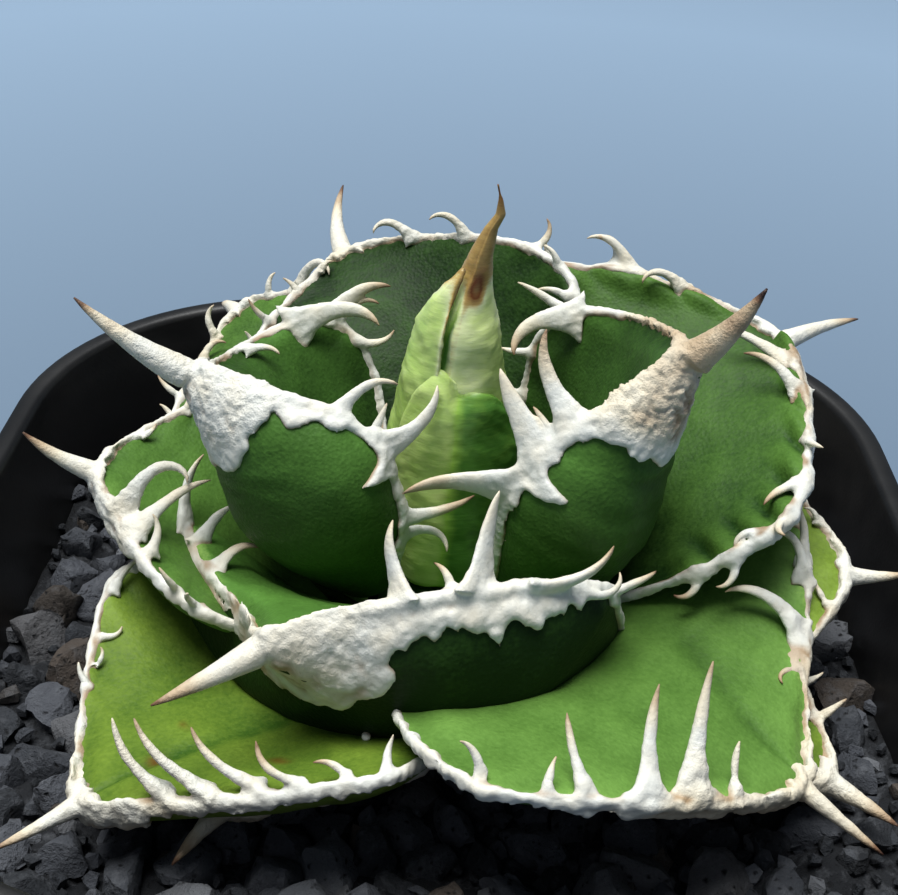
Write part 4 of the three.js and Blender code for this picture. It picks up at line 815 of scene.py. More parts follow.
def capShell(leaf):
    # the corky cap over the tip, with a ragged edge, running into the end spine
    count = 60
    half = count // 2
    t = np.concatenate([np.linspace(-1, 1, half), np.linspace(1, -1, half)])
    lower = np.arange(count) >= half
    sample = np.stack([np.cos(np.pi * t), np.sin(np.pi * t) + 2 * lower, 0 * t], 1) * 6
    edge = 0.012 * waves(sample, 3.4, leaf.seed + 21) + 0.009 * waves(sample, 1.3, leaf.seed + 22)
    start = leaf.end(t, lower) + edge * np.where(np.abs(t) > 0.97, 0, 1)
    rings = []
    thickness = ((0, -0.4), (0.015, 0.3), (0.08, 0.5), (0.25, 0.55), (0.5, 0.5), (0.75, 0.4), (1, 0.2))
    for share, grow in thickness:
        s = start + (0.997 - start) * share
        left = t >= 0
        v = t * (leaf.rim(s, left) + 0.15)
        v = v + np.where(lower, 0.8 * grow * np.sign(t) * t * t, 0)
        lift = np.where(lower, -leaf.depth(s, t) - grow, grow)
        rings.append(leaf.point(s, v, lift))
    u, centres, wides, flats, radius, _ = spinePath(leaf)
    angle = np.pi - np.linspace(0, np.pi, half)
    around = np.concatenate([angle, -angle[::-1]])
    for k in range(1, len(u)):
        if radius[k] < 0.3:
            break
        ring = wides[k] * np.cos(around)[:, None] - flats[k] * np.sin(around)[:, None]
        rings.append(centres[k] + ring * radius[k])
    return np.array(rings)


def melted(name, parts, voxel):
    # the parts flow together into one skin, as horn does
    rough = makeObject(name, *joinParts(parts))
    turnOutward(rough)
    melt = rough.modifiers.new("melt", "REMESH")
    melt.mode = "VOXEL"
    melt.voxel_size = voxel * mm
    mesh = bpy.data.meshes.new_from_object(rough.evaluated_get(bpy.context.evaluated_depsgraph_get()))
    bpy.data.objects.remove(rough)
    edges = np.empty(len(mesh.edges) * 2, int)
    mesh.edges.foreach_get("vertices", edges)
    places = relaxed(meshPoints(mesh) - (0, 0, gritLevel), edges.reshape(-1, 2), 5)
    return places, [tuple(face.vertices) for face in mesh.polygons]


def hornMesh(leaf, skinTree):
    p = leaf.plan
    random = np.random.default_rng(leaf.seed + 3)
    parts = [*marginStrip(leaf, 1), *marginStrip(leaf, -1), tubePart(capShell(leaf))]
    tips, trail, radii, calms, ages = [], [], [], [], []
    for tooth in leaf.teeth:
        u, centres, wides, flats, halfWide, halfFlat = toothPath(leaf, tooth)
        keep = halfFlat > 0.22
        parts.append(tubePart(roundTube(centres[keep], wides[keep], flats[keep], halfWide[keep], halfFlat[keep], 12)))
        begin = min(0.3, u[np.argmin(np.abs(halfFlat - 0.6))])
        tip = u >= begin
        shrink = 0.6 + 0.4 * smoothStep(begin, begin + 0.35, u)
        tips.append(tubePart(roundTube(centres[tip], wides[tip], flats[tip], (halfWide * shrink)[tip],
                                       (halfFlat * shrink)[tip], 10)))
        tan = random.uniform(0.15, 0.6)
        trail.append(centres)
        radii.append(halfWide)
        calms.append(0.8 * smoothStep(0.1, 0.5, u))
        ages.append(tan * smoothStep(0.25, 0.95, u) + 0.2 * smoothStep(0.85, 1, u))
    u, centres, wides, flats, radius, _ = spinePath(leaf)
    tip = u >= 0.3
    shrink = 0.7 + 0.3 * smoothStep(0.3, 0.6, u)
    tips.append(tubePart(roundTube(centres[tip], wides[tip], flats[tip], (radius * shrink)[tip],
                                   (radius * shrink)[tip], 14)))
    for face, s, t, size in p["beads"]:
        v = t * float(leaf.half(np.array(s), t >= 0))
        seat = leaf.point(np.array(s), np.array(v), np.array(0.3 if face > 0 else -float(leaf.depth(s, t)) - 0.3))
        turn = np.linspace(0, np.pi, 9)[1:-1]
        tips.append(tubePart(roundTube(seat + np.outer(-np.cos(turn), (size, 0, 0)), np.tile((0, 1.0, 0), (7, 1)),
                                       np.tile((0, 0, 1.0), (7, 1)), size * 1.2 * np.sin(turn),
                                       size * 0.8 * np.sin(turn), 10)))
    trail.append(centres)
    radii.append(radius)
    calms.append(0.9 * smoothStep(-0.1, 0.25, u))
    ages.append(p["capTone"] + (0.55 - 0.5 * p["capTone"]) * smoothStep(0.3, 1, u) + 0.3 * smoothStep(0.82, 1, u))
    points, faces = joinParts([melted(leaf.name + "_rough", parts, p["voxel"]), *tips])
    # grains and cracks of the cap, and softer lumps on the rest
    place, along, _, _ = leaf.frameAt(np.array(0.7))
    onCap = smoothStep(0.06, 0.16, ((points - place) @ along) / p["length"])
    outward = vertexNormals(points, faces)

    def rough(size, draw):
        return waves(points, size, leaf.seed + draw)

    lumps = 0.06 * rough(2.6, 31) + 0.04 * rough(1.1, 32)
    lumps += p["crumple"] * (0.2 * rough(2.8, 36) + 0.07 * rough(1.2, 37))
    crust = p["crust"] * onCap * (0.09 * rough(1.5, 33) + 0.06 * rough(0.8, 34))
    nearest, distance = nearestSample(points, np.concatenate(trail))
    pathAge = np.concatenate(ages)[nearest]
    near = 1 - smoothStep(0.15, 0.7, distance - np.concatenate(radii)[nearest])
    calm = np.concatenate(calms)[nearest] * near
    place, along, _, _ = leaf.frameAt(np.array(0.9))
    reach = (points - place) @ along + 0.5 * rough(3, 0)
    crust += p["wrinkle"] * onCap * (0.5 * np.sin(6.9 * reach) + 0.5 * np.sin(10.3 * reach + 1.3))
    points = points + outward * ((lumps + crust) * (1 - calm))[:, None]
    thing = makeObject(leaf.name + "_margin", points, faces, hornMaterial)
    age = np.maximum(pathAge * near, p["capTone"] * onCap) + 0.06 * rough(4, 35)
    # painted shade: horn that faces down is pushed along the ramp towards cream and tan
    age += 0.16 * np.clip(-outward[:, 2], 0, 1) + 0.05 * rough(12, 39)
    # a brown line where the horn meets the skin
    gaps = [skinTree.find_nearest(place, seamReach)[3] for place in points]
    seam = np.array([0 if gap is None else 1 - gap / seamReach for gap in gaps])
    seam = 0.8 * np.clip(seam * 1.6, 0, 1) * np.clip(0.7 + 0.5 * rough(5, 38), 0, 1)
    for name, values in (("age", age), ("seam", seam), ("crust", p["crust"] * onCap + 0.25)):
        setAttribute(thing, name, np.clip(values, 0, 1))
    return thing


def vertexNormals(points, faces):
    mesh = bpy.data.meshes.new("probe")
    mesh.from_pydata(points.tolist(), [], faces)
    mesh.update()
    normals = np.empty(len(mesh.vertices) * 3)
    mesh.vertices.foreach_get("normal", normals)
    bpy.data.meshes.remove(mesh)
    return normals.reshape(-1, 3)


def nearestSample(points, samples):
    index = np.empty(len(points), int)
    gap = np.empty(len(points))
    for start in range(0, len(points), 4000):
        part = points[start:start + 4000]
        square = ((part[:, None] - samples[None]) ** 2).sum(-1)
        index[start:start + 4000] = square.argmin(1)
        gap[start:start + 4000] = np.sqrt(square.min(1))
    return index, gap


def faceTree(thing):
    places = meshPoints(thing.data) - (0, 0, gritLevel)
    return BVHTree.FromPolygons([tuple(place) for place in places], [tuple(f.vertices) for f in thing.data.polygons])


def isInside(tree, place):
    way = Vector((0.23, 0.31, 0.92))
    spot, normal, _, _ = tree.ray_cast(place, way)
    return spot is not None and normal.dot(way) > 0


def trimTeeth(leaf, trees):
    # a claw that would run into another leaf stays shorter, or is left out
    kept = []
    for tooth in leaf.teeth:
        for _ in range(6):
            _, centres, *_ = toothPath(leaf, tooth)
            hits = any(isInside(tree, place) for name, tree in trees.items() for place in centres[6:]
                       if name != leaf.name)
            if not hits:
                break
            tooth = (*tooth[:2], tooth[2] * 0.8, *tooth[3:])
        if not hits:
            kept.append(tooth)
    if len(kept) < len(leaf.teeth):
        print(leaf.name, "claws left out:", len(leaf.teeth) - len(kept))
    leaf.teeth = kept


leaves = [Leaf(name, plan, 100 * (seed + 1)) for seed, (name, plan) in enumerate(leafPlan.items())]
blades = [bladeMesh(leaf) for leaf in leaves]
skinTrees = {leaf.name: faceTree(blade) for leaf, blade in zip(leaves, blades)}
print("blades made")
leafThings = []
for leaf, blade in zip(leaves, blades):
    trimTeeth(leaf, skinTrees)
    horn = hornMesh(leaf, skinTrees[leaf.name])
    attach(blade, "root")
    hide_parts(leaf.name + "_blade")
    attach(horn, "root")
    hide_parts(leaf.name + "_horn")
    leafThings += [blade, horn]
    print(leaf.name, "made:", len(blade.data.polygons), len(horn.data.polygons))


# The bud: the cone of leaves that are still rolled together. Stations: height, lean, half width. The
# outer leaves: the compass directions of their edges at the foot and at the top, heights, thickness.
budShape = {
    "low": 8, "top": 57.9, "seam": 248, "patchTurn": 4.95, "patchHeight": 46.3,
    "body": [(8, 0, 6.2), (14, 0.1, 6.7), (20, 0.2, 6.7), (28, 0.5, 6.3), (36, 0.8, 5.4), (42, 1, 4.1),
             (46.5, 1.5, 2.5), (50, 2.3, 1.6), (53, 3.2, 1.05), (54.6, 4.1, 0.85), (56.3, 4.0, 0.55),
             (57.9, 3.6, 0.12)],
    "wrap": {"from": (100, 212), "to": (246, 240), "low": 26, "high": 49, "thick": 1.2, "gap": 0.2,
             "dip": 0, "dome": 0, "browning": 0.42},
    "sheath": {"from": (175, 215), "to": (390, 335), "low": 10.5, "high": 38.3, "thick": 1.5, "gap": 0.3,
               "dip": 2.8, "dome": 1.4, "browning": 0.04},
}


def budAt(height):
    table = np.array(budShape["body"])
    return np.interp(height, table[:, 0], table[:, 1]), np.interp(height, table[:, 0], table[:, 2])


def budCone():
    p = budShape
    heights = np.concatenate([np.linspace(p["low"], 48, 90), np.linspace(48.4, p["top"], 40)])
    angle = np.linspace(0, 2 * np.pi, 72, endpoint=False)
    rings, tones, dries = [], [], []
    for height in heights:
        lean, half = budAt(height)
        # the edge of the outermost rolled leaf runs up the front as a low step
        seam = math.radians(p["seam"] + 0.4 * (height - 30))
        turn = (angle - seam + np.pi) % (2 * np.pi) - np.pi
        step = 0.55 * np.exp(-np.clip(turn, 0, None) * 1.4) * (turn > 0) * min(1, half / 4)
        radius = half * (0.97 + 0.02 * np.cos(2 * angle)) + step - 0.3
        radius = np.maximum(radius, 0.1)
        ring = np.stack([lean + radius * np.cos(angle), radius * np.sin(angle), 0 * angle + height], 1)
        rings.append(ring)
        line = hump(turn, 0.09) * (height > 28)
        # painted shade: the gap beside the wrap's edge is toned dark green
        slitShade = hump(turn + 0.1, 0.14) * smoothStep(29, 33, height) * (1 - smoothStep(41, 45, height))
        tone = 0.62 + 0.1 * np.sin(angle * 3 + height * 0.15) + 0.012 * (height - 30)
        tones.append(tone - 0.3 * line - 0.9 * slitShade)
        woody = smoothStep(44.6, 49, height) * 0.57 + 0.2 * line * (1 - smoothStep(42, 45, height))
        edge = hump(turn - 0.12, 0.12)
        woody += 0.3 * edge * smoothStep(33, 38, height) * (1 - smoothStep(44, 47, height))
        patch = hump(angle - p["patchTurn"], 0.5) * hump(height - p["patchHeight"], 1.7)
        tipShade = 0.25 * smoothStep(54.5, 57.5, height)
        dries.append(np.clip(woody + 0.75 * patch + tipShade, 0, 1))
    points, faces = tubePart(np.array(rings))
    stout = np.clip((53 - points[:, 2]) / 10, 0, 1)
    crossed = points * (1, 1, 2.2)
    bulge = (0.22 * waves(points, 6, 5) + 0.06 * waves(crossed, 2.2, 6) + 0.03 * waves(crossed, 1.1, 7)) * stout
    points += vertexNormals(points, faces) * bulge[:, None]
    thing = makeObject("bud_cone", points, faces, budMaterial)
    setAttribute(thing, "tone", np.concatenate([np.array(tones).ravel(), [0.5, 0.5]]))
    setAttribute(thing, "dry", np.concatenate([np.array(dries).ravel(), [0, 0.8]]))
    turnOutward(thing)
    return thing


def rolledLeaf(name, plan, dark):
    rows, steps = 60, 80
    share = np.linspace(0, 1, rows)[:, None]
    x = np.linspace(-1, 1, steps)[None]
    start = plan["from"][0] + (plan["from"][1] - plan["from"][0]) * share ** 1.6
    stop = plan["to"][0] + (plan["to"][1] - plan["to"][0]) * share ** 1.6
    middle, spread = (start + stop) / 2, (stop - start) / 2
    angle = np.radians(middle + spread * x)
    # the top edge of the sheath is two round lobes, the left one higher
    degrees = np.degrees(angle)
    side = smoothStep(257, 276, degrees)
    leftLobe, rightLobe = [np.minimum(((degrees - at) / wide) ** 2, 2) for at, wide in ((240, 22), (292, 42))]
    lobes = (1 - side) * leftLobe + side * rightLobe
    top = plan["high"] - plan["dip"] * side - plan["dome"] * lobes - 2.5 * np.abs(x) ** 5
    height = plan["low"] + (top - plan["low"]) * share
    lean, half = budAt(height)
    edge = np.clip((1 - np.abs(x)) * np.radians(spread) * half, 0, None)
    thick = plan["thick"] * (0.25 + 0.75 * smoothStep(0, 1.6, edge)) * (1 - 0.4 * share)
    swollen = smoothStep(0.5, 0.85, share) * (1 - smoothStep(0.92, 1, share)) * (1 - side)
    flare = 0.35 * np.exp(-edge / 0.6) * share + 0.45 * swollen
    thick = thick * (1 - 0.6 * smoothStep(0.93, 1, share))
    inside = half * (1 - 0.25 * np.maximum(share - 0.75, 0)) + plan["gap"] + flare
    faces = []
    for radius in (inside + thick, inside):
        faces.append(np.stack([lean + radius * np.cos(angle), radius * np.sin(angle), height + 0 * angle], -1))
    rings = np.concatenate([faces[0], faces[1][:, ::-1]], 1)
    points, polygons = tubePart(rings)
    crossed = points * (1, 1, 2.2)
    bulge = 0.14 * waves(points, 5.5, 11) + 0.05 * waves(crossed, 1.8, 12)
    points += vertexNormals(points, polygons) * bulge[:, None]
    thing = makeObject(name, points, polygons, budMaterial)
    rim = np.exp(-edge / 0.35)
    tone = np.broadcast_to(0.85 - 0.75 * dark(degrees, share) + 0 * x, angle.shape)
    dry = np.clip((0.34 * rim + plan["browning"] * smoothStep(0.75, 1, share)) * smoothStep(0.1, 0.5, share), 0, 1)
    for key, values, ends in (("tone", tone, [0.4, 0.4]), ("dry", dry, [0, 0.3])):
        setAttribute(thing, key, np.concatenate([np.concatenate([values, values[:, ::-1]], 1).ravel(), ends]))
    turnOutward(thing)
    return thing


def wrapShade(angle, share):
    return 0.3 + 0.25 * (1 - share)


def sheathShade(angle, share):
    # green on the right of the front, pale on the left where it has been covered
    return 0.36 + smoothStep(262, 280, angle) * 0.72 + 0.1 * (1 - share)


cone = budCone()
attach(cone, "root")
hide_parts("bud", "budSpine")
for name, node, plan, shade, slot in (
    ("bud_wrap", "budWrap", budShape["wrap"], wrapShade, "bud"),
    ("bud_sheath", "sheath", budShape["sheath"], sheathShade, "blade"),
):
    rolled = rolledLeaf(name, plan, shade)
    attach(rolled, "root")
    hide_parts(node)
print("bud made")


# The pot: a rounded square, with a rolled rim and a foot ring.
potPlan = {
    "height": 104, "rimHalf": 60, "rimCorner": 36, "footHalf": 42.5, "footCorner": 28, "wall": 2, "floor": 3,
    "lipDepth": 6, "lipWidth": 3.2, "footRing": 5, "footLift": 2.5, "drainRadius": 4, "drainReach": 22,
}


def squareReach(half, corner, angle):
    # how far a rounded square reaches in a direction
    x, y = np.abs(np.cos(angle)), np.abs(np.sin(angle))
    flat = half / np.maximum(x, y)
    c = half - corner
    along = c * (x + y)
    bend = along + np.sqrt(np.maximum(along ** 2 - 2 * c * c + corner ** 2, 0))
    return np.where(np.minimum(x, y) * flat <= c, flat, bend)


def potAt(z):
    p = potPlan
    share = z / p["height"]
    topHalf = p["rimHalf"] - p["lipWidth"] + p["wall"]
    return (p["footHalf"] + (topHalf - p["footHalf"]) * share,
            p["footCorner"] + (p["rimCorner"] - p["footCorner"]) * share)


def makePot():
    p = potPlan
    angle = np.linspace(0, 2 * np.pi, 192, endpoint=False) + 0.005

    def ring(half, corner, z):
        reach = squareReach(half, corner, angle)
        return np.stack([reach * np.cos(angle), reach * np.sin(angle), 0 * angle + z], 1)

    def wall(inset, z):
        half, corner = potAt(z)
        return ring(half - inset, corner - inset, z)

    def lip(inset, z):
        return ring(p["rimHalf"] - inset, p["rimCorner"] - inset, z)

    top = p["height"]
    floor = p["footLift"] + p["floor"]
    rings = [wall(p["wall"] + 8, floor), wall(p["wall"] + 1.2, floor), wall(p["wall"] + 0.3, floor + 0.4)]
    rings += [wall(p["wall"], z) for z in np.linspace(floor + 1.5, top - 4, 12)]
    lips = ((p["lipWidth"] + 0.1, 2), (p["lipWidth"], 0.9), (p["lipWidth"] - 0.35, 0.25), (p["lipWidth"] - 0.9, 0),
            (0.9, 0), (0.35, 0.2), (0.05, 0.8), (0, 1.6), (0.15, p["lipDepth"] - 0.4), (0.35, p["lipDepth"]),
            (0.9, p["lipDepth"] + 0.25))
    rings += [lip(inset, top - down) for inset, down in lips]
    rings += [wall(0.15, top - p["lipDepth"] - 0.5)]
    rings += [wall(0, z) for z in np.linspace(top - p["lipDepth"] - 1.5, 1.6, 14)]
    foot = ((0.25, 0.6), (0.9, 0.02), (p["footRing"] - 0.3, 0.02), (p["footRing"] + 0.3, 0.5),
            (p["footRing"] + 0.5, p["footLift"]), (p["footRing"] + 6, p["footLift"]))
    rings += [wall(inset, z) for inset, z in foot]
    points, faces = tubePart(np.array(rings))
    thing = makeObject("pot_shell", points, faces, potMaterial, lift=0)
    turnOutward(thing)
    drain = bmesh.new()
    for k in range(4):
        turn = math.pi / 2 * k + math.pi / 4
        place = Vector((p["drainReach"] * math.cos(turn), p["drainReach"] * math.sin(turn), floor - 1)) * mm
        bmesh.ops.create_cone(drain, segments=32, radius1=p["drainRadius"] * mm, radius2=p["drainRadius"] * mm,
                              depth=12 * mm, cap_ends=True, matrix=Matrix.Translation(place))
    cutterMesh = bpy.data.meshes.new("drain")
    drain.to_mesh(cutterMesh)
    drain.free()
    cutter = bpy.data.objects.new("drain", cutterMesh)
    bpy.context.scene.collection.objects.link(cutter)
    cut = thing.modifiers.new("holes", "BOOLEAN")
    cut.object = cutter
    cut.operation = "DIFFERENCE"
    mesh = bpy.data.meshes.new_from_object(thing.evaluated_get(bpy.context.evaluated_depsgraph_get()))
    thing.modifiers.clear()
    thing.data = mesh
    bpy.data.objects.remove(cutter)
    edges = mesh.attributes.get("sharp_edge") or mesh.attributes.new("sharp_edge", "BOOLEAN", "EDGE")
    edges.data.foreach_set("value", np.zeros(len(mesh.edges), bool))
    mesh.set_sharp_from_angle(angle=math.radians(40))
    return thing


pot = makePot()
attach(pot, "root")
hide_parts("pot")
print("pot made")


# Grit: a dark bed with lava stones scattered over it by Geometry Nodes. A stone shrinks where a leaf
# comes close, so that none breaks through one.
gritPlan = {
    "dip": 6.5, "dipRadius": 50, "bedDrop": 3.0, "stoneSize": 3.9,
    "layers": [
        {"name": "grit_stones", "shape": "stone", "shapes": 14, "level": 3, "shapeSeed": 500, "gap": 5.2,
         "smallest": 0.75, "largest": 1.35, "sink": 0.6, "seed": 4, "inset": 3.4},
        {"name": "grit_crumbs", "shape": "crumb", "shapes": 6, "level": 1, "shapeSeed": 900, "gap": 2.3,
         "smallest": 0.28, "largest": 0.55, "sink": 0.9, "seed": 5, "inset": 1.1},
    ],
}


def makeBed():
    p = gritPlan
    count, rows = 120, 34
    angle = np.linspace(0, 2 * np.pi, count, endpoint=False)
    half, corner = potAt(gritLevel - 3)
    reach = squareReach(half - 2.3, corner - 2.3, angle)
    rings = []
    for share in np.linspace(1, 0.02, rows):
        x, y = share * reach * np.cos(angle), share * reach * np.sin(angle)
        hollow = p["dip"] * np.exp(-((np.hypot(x, y) / p["dipRadius"]) ** 4))
        flat = np.stack([x, y, 0 * x], 1)
        rings.append(np.stack([x, y, -p["bedDrop"] - hollow + 0.7 * waves(flat, 7, 3)], 1))
    halfLow, cornerLow = potAt(8)
    reachLow = squareReach(halfLow - 2.3, cornerLow - 2.3, angle)
    foot = np.stack([reachLow * np.cos(angle), reachLow * np.sin(angle), 0 * angle + 6 - gritLevel], 1)
    points, faces = tubePart(np.array([foot, *rings]))
    return makeObject("grit_bed", points, faces, lavaMaterial)


def makeStone(name, seed, level):
    work = bmesh.new()
    bmesh.ops.create_icosphere(work, subdivisions=level, radius=1.0)
    random = np.random.default_rng(seed)
    places = np.array([v.co[:] for v in work.verts])
    stretch = random.uniform(0.72, 1.15, 3)
    # flat broken faces, then lumps
    for _ in range(16):
        way = random.normal(size=3)
        way /= np.linalg.norm(way)
        over = np.maximum(places @ way - random.uniform(0.45, 0.82), 0)
        places -= way * over[:, None] * 0.96
    places *= 1 + 0.07 * waves(places, 0.8, seed + 1)[:, None] + 0.05 * waves(places, 0.35, seed + 2)[:, None]
    places *= stretch * gritPlan["stoneSize"] * mm
    for vertex, place in zip(work.verts, places):
        vertex.co = place
    mesh = bpy.data.meshes.new(name)
    work.to_mesh(mesh)
    work.free()
    mesh.shade_smooth()
    mesh.set_sharp_from_angle(angle=math.radians(32))
    return bpy.data.objects.new(name, mesh)


def scatterTree(shapes, leafShapes):
    tree = bpy.data.node_groups.new("scatterStones", "GeometryNodeTree")
    wanted = {"Gap": "Float", "Smallest": "Float", "Largest": "Float", "Sink": "Float", "Seed": "Int",
              "Material": "Material"}
    for way in ("INPUT", "OUTPUT"):
        tree.interface.new_socket("Geometry", in_out=way, socket_type="NodeSocketGeometry")
    sockets = {name: tree.interface.new_socket(name, in_out="INPUT", socket_type="NodeSocket" + kind).identifier
               for name, kind in wanted.items()}
    source = addNode(tree, "NodeGroupInput", output=None)
    seed = source["Seed"]
    facing = addNode(tree, "ShaderNodeSeparateXYZ", {0: addNode(tree, "GeometryNodeInputNormal")}, "Z")
    up = addNode(tree, "FunctionNodeCompare", {0: facing, 1: 0.5}, operation="GREATER_THAN")
    spread = addNode(tree, "GeometryNodeDistributePointsOnFaces",
                     {"Mesh": source["Geometry"], "Selection": up, "Distance Min": source["Gap"],
                      "Density Max": 3.0e5, "Seed": seed}, "Points", distribute_method="POISSON")
    pieces = addNode(tree, "GeometryNodeCollectionInfo",
                     {"Collection": shapes, "Separate Children": True, "Reset Children": True})
    around = addNode(tree, "FunctionNodeRandomValue", {0: (0, 0, 0), 1: (6.28, 6.28, 6.28), "Seed": seed},
                     data_type="FLOAT_VECTOR")
    size = addNode(tree, "FunctionNodeRandomValue", {2: source["Smallest"], 3: source["Largest"], "Seed": seed}, 1,
                   data_type="FLOAT")
    tint = addNode(tree, "FunctionNodeRandomValue", {2: 0.0, 3: 1.0, "Seed": seed}, 1, data_type="FLOAT")
    plant = addNode(tree, "GeometryNodeObjectInfo", {"Object": leafShapes}, "Geometry")
    near = addNode(tree, "GeometryNodeProximity", {0: plant}, "Distance", target_element="FACES")
    room = addNode(tree, "ShaderNodeMapRange", {"Value": near, "From Min": 0.5 * mm, "From Max": 4.5 * mm,
                                                "To Min": 0.3, "To Max": 1.0})
    scale = addNode(tree, "ShaderNodeMath", {0: size, 1: room}, operation="MULTIPLY")
    lower = addNode(tree, "ShaderNodeCombineXYZ", {2: source["Sink"]})
    sunk = addNode(tree, "GeometryNodeSetPosition", {"Geometry": spread, "Offset": lower})
    placed = addNode(tree, "GeometryNodeInstanceOnPoints",
                     {"Points": sunk, "Instance": pieces, "Pick Instance": True, "Rotation": around, "Scale": scale})
    stored = addNode(tree, "GeometryNodeStoreNamedAttribute",
                     {"Geometry": placed, "Name": "stoneTint", "Value": tint}, data_type="FLOAT", domain="INSTANCE")
    real = addNode(tree, "GeometryNodeRealizeInstances", {0: stored})
    coated = addNode(tree, "GeometryNodeSetMaterial", {"Geometry": real, "Material": source["Material"]})
    addNode(tree, "NodeGroupOutput", {0: coated}, None)
    return tree, sockets


def scatterStones(layer, bed, leafShapes):
    shapes = bpy.data.collections.new(layer["shape"])
    for k in range(layer["shapes"]):
        shapes.objects.link(makeStone(layer["shape"] + str(k), layer["shapeSeed"] + 10 * k, layer["level"]))
    tree, sockets = scatterTree(shapes, leafShapes)
    ground = bmesh.new()
    ground.from_mesh(bed.data)
    half, corner = potAt(gritLevel - 3)

    def isOff(face):
        x, y, _ = face.calc_center_median() / mm
        reach = squareReach(half, corner, math.atan2(y, x)) - 2 - layer["inset"]
        return face.normal.z < 0.5 or math.hypot(x, y) > reach

    bmesh.ops.delete(ground, geom=[face for face in ground.faces if isOff(face)], context="FACES")
    mesh = bpy.data.meshes.new(layer["name"])
    ground.to_mesh(mesh)
    ground.free()
    thing = bpy.data.objects.new(layer["name"], mesh)
    bpy.context.scene.collection.objects.link(thing)
    work = thing.modifiers.new("scatter", "NODES")
    work.node_group = tree
    values = {"Gap": layer["gap"] * mm, "Smallest": layer["smallest"], "Largest": layer["largest"],
              "Sink": layer["sink"] * mm, "Seed": layer["seed"], "Material": lavaMaterial}
    for key, value in values.items():
        work[sockets[key]] = value
    mesh = bpy.data.meshes.new_from_object(thing.evaluated_get(bpy.context.evaluated_depsgraph_get()))
    thing.modifiers.clear()
    thing.data = mesh
    return thing


bed = makeBed()
turnOutward(bed)
setAttribute(bed, "stoneTint", np.zeros(len(bed.data.vertices)))
probe = bpy.data.meshes.new("leafProbe")
joined = bmesh.new()
for thing in leafThings[::2]:
    joined.from_mesh(thing.data)
joined.to_mesh(probe)
joined.free()
leafProbe = bpy.data.objects.new("leafProbe", probe)
bpy.context.scene.collection.objects.link(leafProbe)
stones = [scatterStones(layer, bed, leafProbe) for layer in gritPlan["layers"]]
bpy.data.objects.remove(leafProbe)
for thing in (bed, *stones):
    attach(thing, "root")
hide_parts("grit")
print("grit made:", [len(thing.data.polygons) for thing in stones])

# The stem is all but hidden: it keeps its solid, with the skin of the leaf bases.
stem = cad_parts["stem"]
stem.data.materials.clear()
stem.data.materials.append(skins["middle"])

# Floor, light and camera
studioPlan = {
    "floor": [(0.2, "#5e7185"), (0.62, "#849bb3")],  # by metres from the plant
    "air": [(0.0, "#8ba2b8"), (0.3, "#5b6672")], "airStrength": 0.65,
    "ceiling": 2.0, "ceilingAngle": 50, "ceilingWay": (0.1, -0.13, -1),
    "lamps": [("softbox", (-0.22, -0.02, 1.5), (0, 0, 0.11), 0.85, 25, "#fffdf6"),
              ("fill", (-0.5, -1.2, 1.2), (0, 0, 0.1), 1.2, 1.6, "#eaf1ff")],  # place, aim, size, power, colour
    "lens": 52.28, "distance": 160, "elevation": 37, "aimHeight": 12, "roll": 3.1,
}
# painted light and shade: the paper is coloured darker near the plant and paler farther out
floorMaterial, floorTree, floorShader, floorCoords = newMaterial("paleStudioPaper")
apart = addNode(floorTree, "ShaderNodeVectorMath", {0: floorCoords}, "Value", operation="LENGTH")
paperWithFalloff = addNode(floorTree, "ShaderNodeValToRGB", {0: apart}, stops=studioPlan["floor"])
feed(floorTree, floorShader, {"Base Color": paperWithFalloff, "Roughness": 0.8})
bpy.ops.mesh.primitive_plane_add(size=60, location=(0, 0, 0))
floor = bpy.context.object
floor.name = "studio_floor"
floor.data.materials.append(floorMaterial)

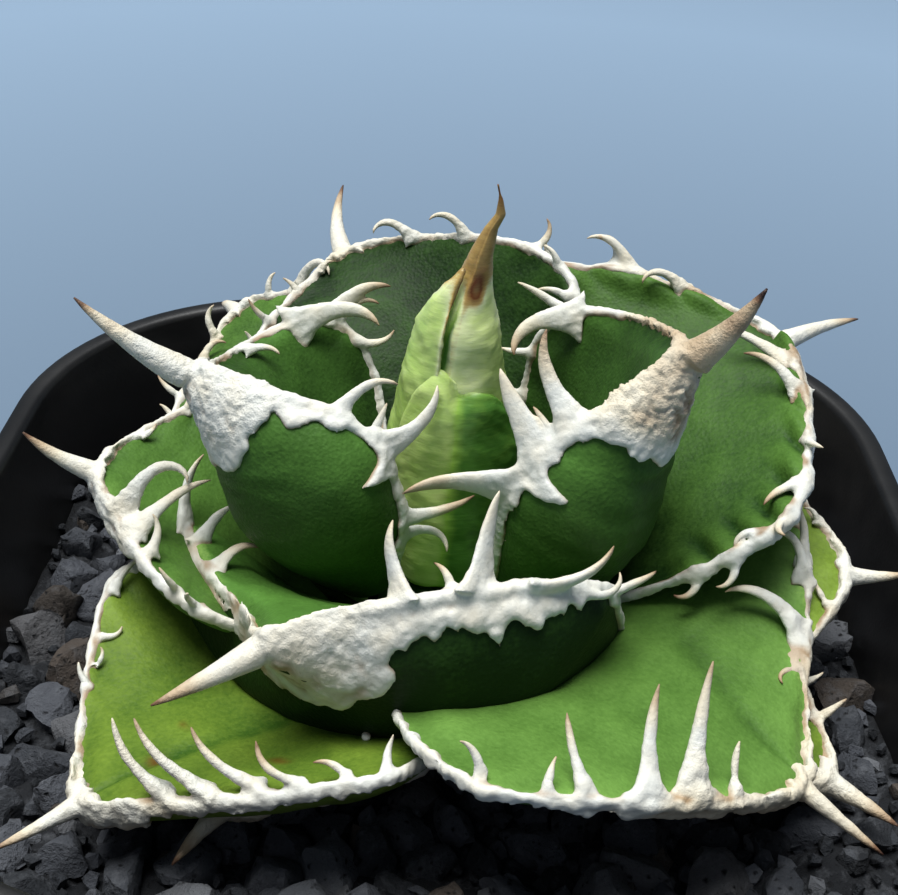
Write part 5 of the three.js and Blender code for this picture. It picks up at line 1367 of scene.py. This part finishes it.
world = bpy.data.worlds.new("studioAir")
bpy.context.scene.world = world
world.use_nodes = True
airTree = world.node_tree
way = addNode(airTree, "ShaderNodeTexCoord", output="Generated")
height = addNode(airTree, "ShaderNodeSeparateXYZ", {0: way}, "Z")
glow = addNode(airTree, "ShaderNodeValToRGB", {0: height}, stops=studioPlan["air"])
feed(airTree, airTree.nodes["Background"], {"Color": glow, "Strength": studioPlan["airStrength"]})


def placeLamp(name, light, place, way, power, colour):
    light.energy = power
    light.color = toLinear(colour)[:3]
    thing = bpy.data.objects.new(name, light)
    thing.location = place
    thing.rotation_euler = Vector(way).to_track_quat("-Z", "Y").to_euler()
    bpy.context.scene.collection.objects.link(thing)


for name, place, aim, size, power, colour in studioPlan["lamps"]:
    light = bpy.data.lights.new(name, "AREA")
    light.shape = "DISK"
    light.size = size
    placeLamp(name, light, place, Vector(aim) - Vector(place), power, colour)
sky = bpy.data.lights.new("ceiling", "SUN")
sky.angle = math.radians(studioPlan["ceilingAngle"])
placeLamp("ceiling", sky, (0, 0, 0), studioPlan["ceilingWay"], studioPlan["ceiling"], "#f6faff")
bpy.context.scene.view_settings.view_transform = "Standard"

# the camera looks down at the pot's rim, tilted a little
elevation = math.radians(studioPlan["elevation"])
back, rise = math.cos(elevation), math.sin(elevation)
rimPlace = Vector((0, 0, potPlan["height"]))
eye = rimPlace + studioPlan["distance"] * Vector((0, -back, rise))
aim = rimPlace + Vector((0, 0, studioPlan["aimHeight"]))
forward = (aim - eye).normalized()
right = forward.cross(Vector((0, 0, 1))).normalized()
upward = right.cross(forward)
roll = math.radians(studioPlan["roll"])
rolledRight = right * math.cos(roll) + upward * math.sin(roll)
rolledUp = upward * math.cos(roll) - right * math.sin(roll)
turned = Matrix((rolledRight, rolledUp, -forward)).transposed().to_4x4()
cameraData = bpy.data.cameras.new("photoCamera")
cameraData.lens = studioPlan["lens"]
cameraData.sensor_width = 36
cameraData.clip_start = 0.01
camera = bpy.data.objects.new("photoCamera", cameraData)
camera.matrix_world = Matrix.Translation(eye * mm) @ turned
bpy.context.scene.collection.objects.link(camera)
bpy.context.scene.camera = camera
print("studio ready")

pieces = [thing for thing in bpy.data.objects if thing.type == "MESH" and thing.name != "studio_floor"]
print("faces in all:", sum(len(thing.data.polygons) for thing in pieces))
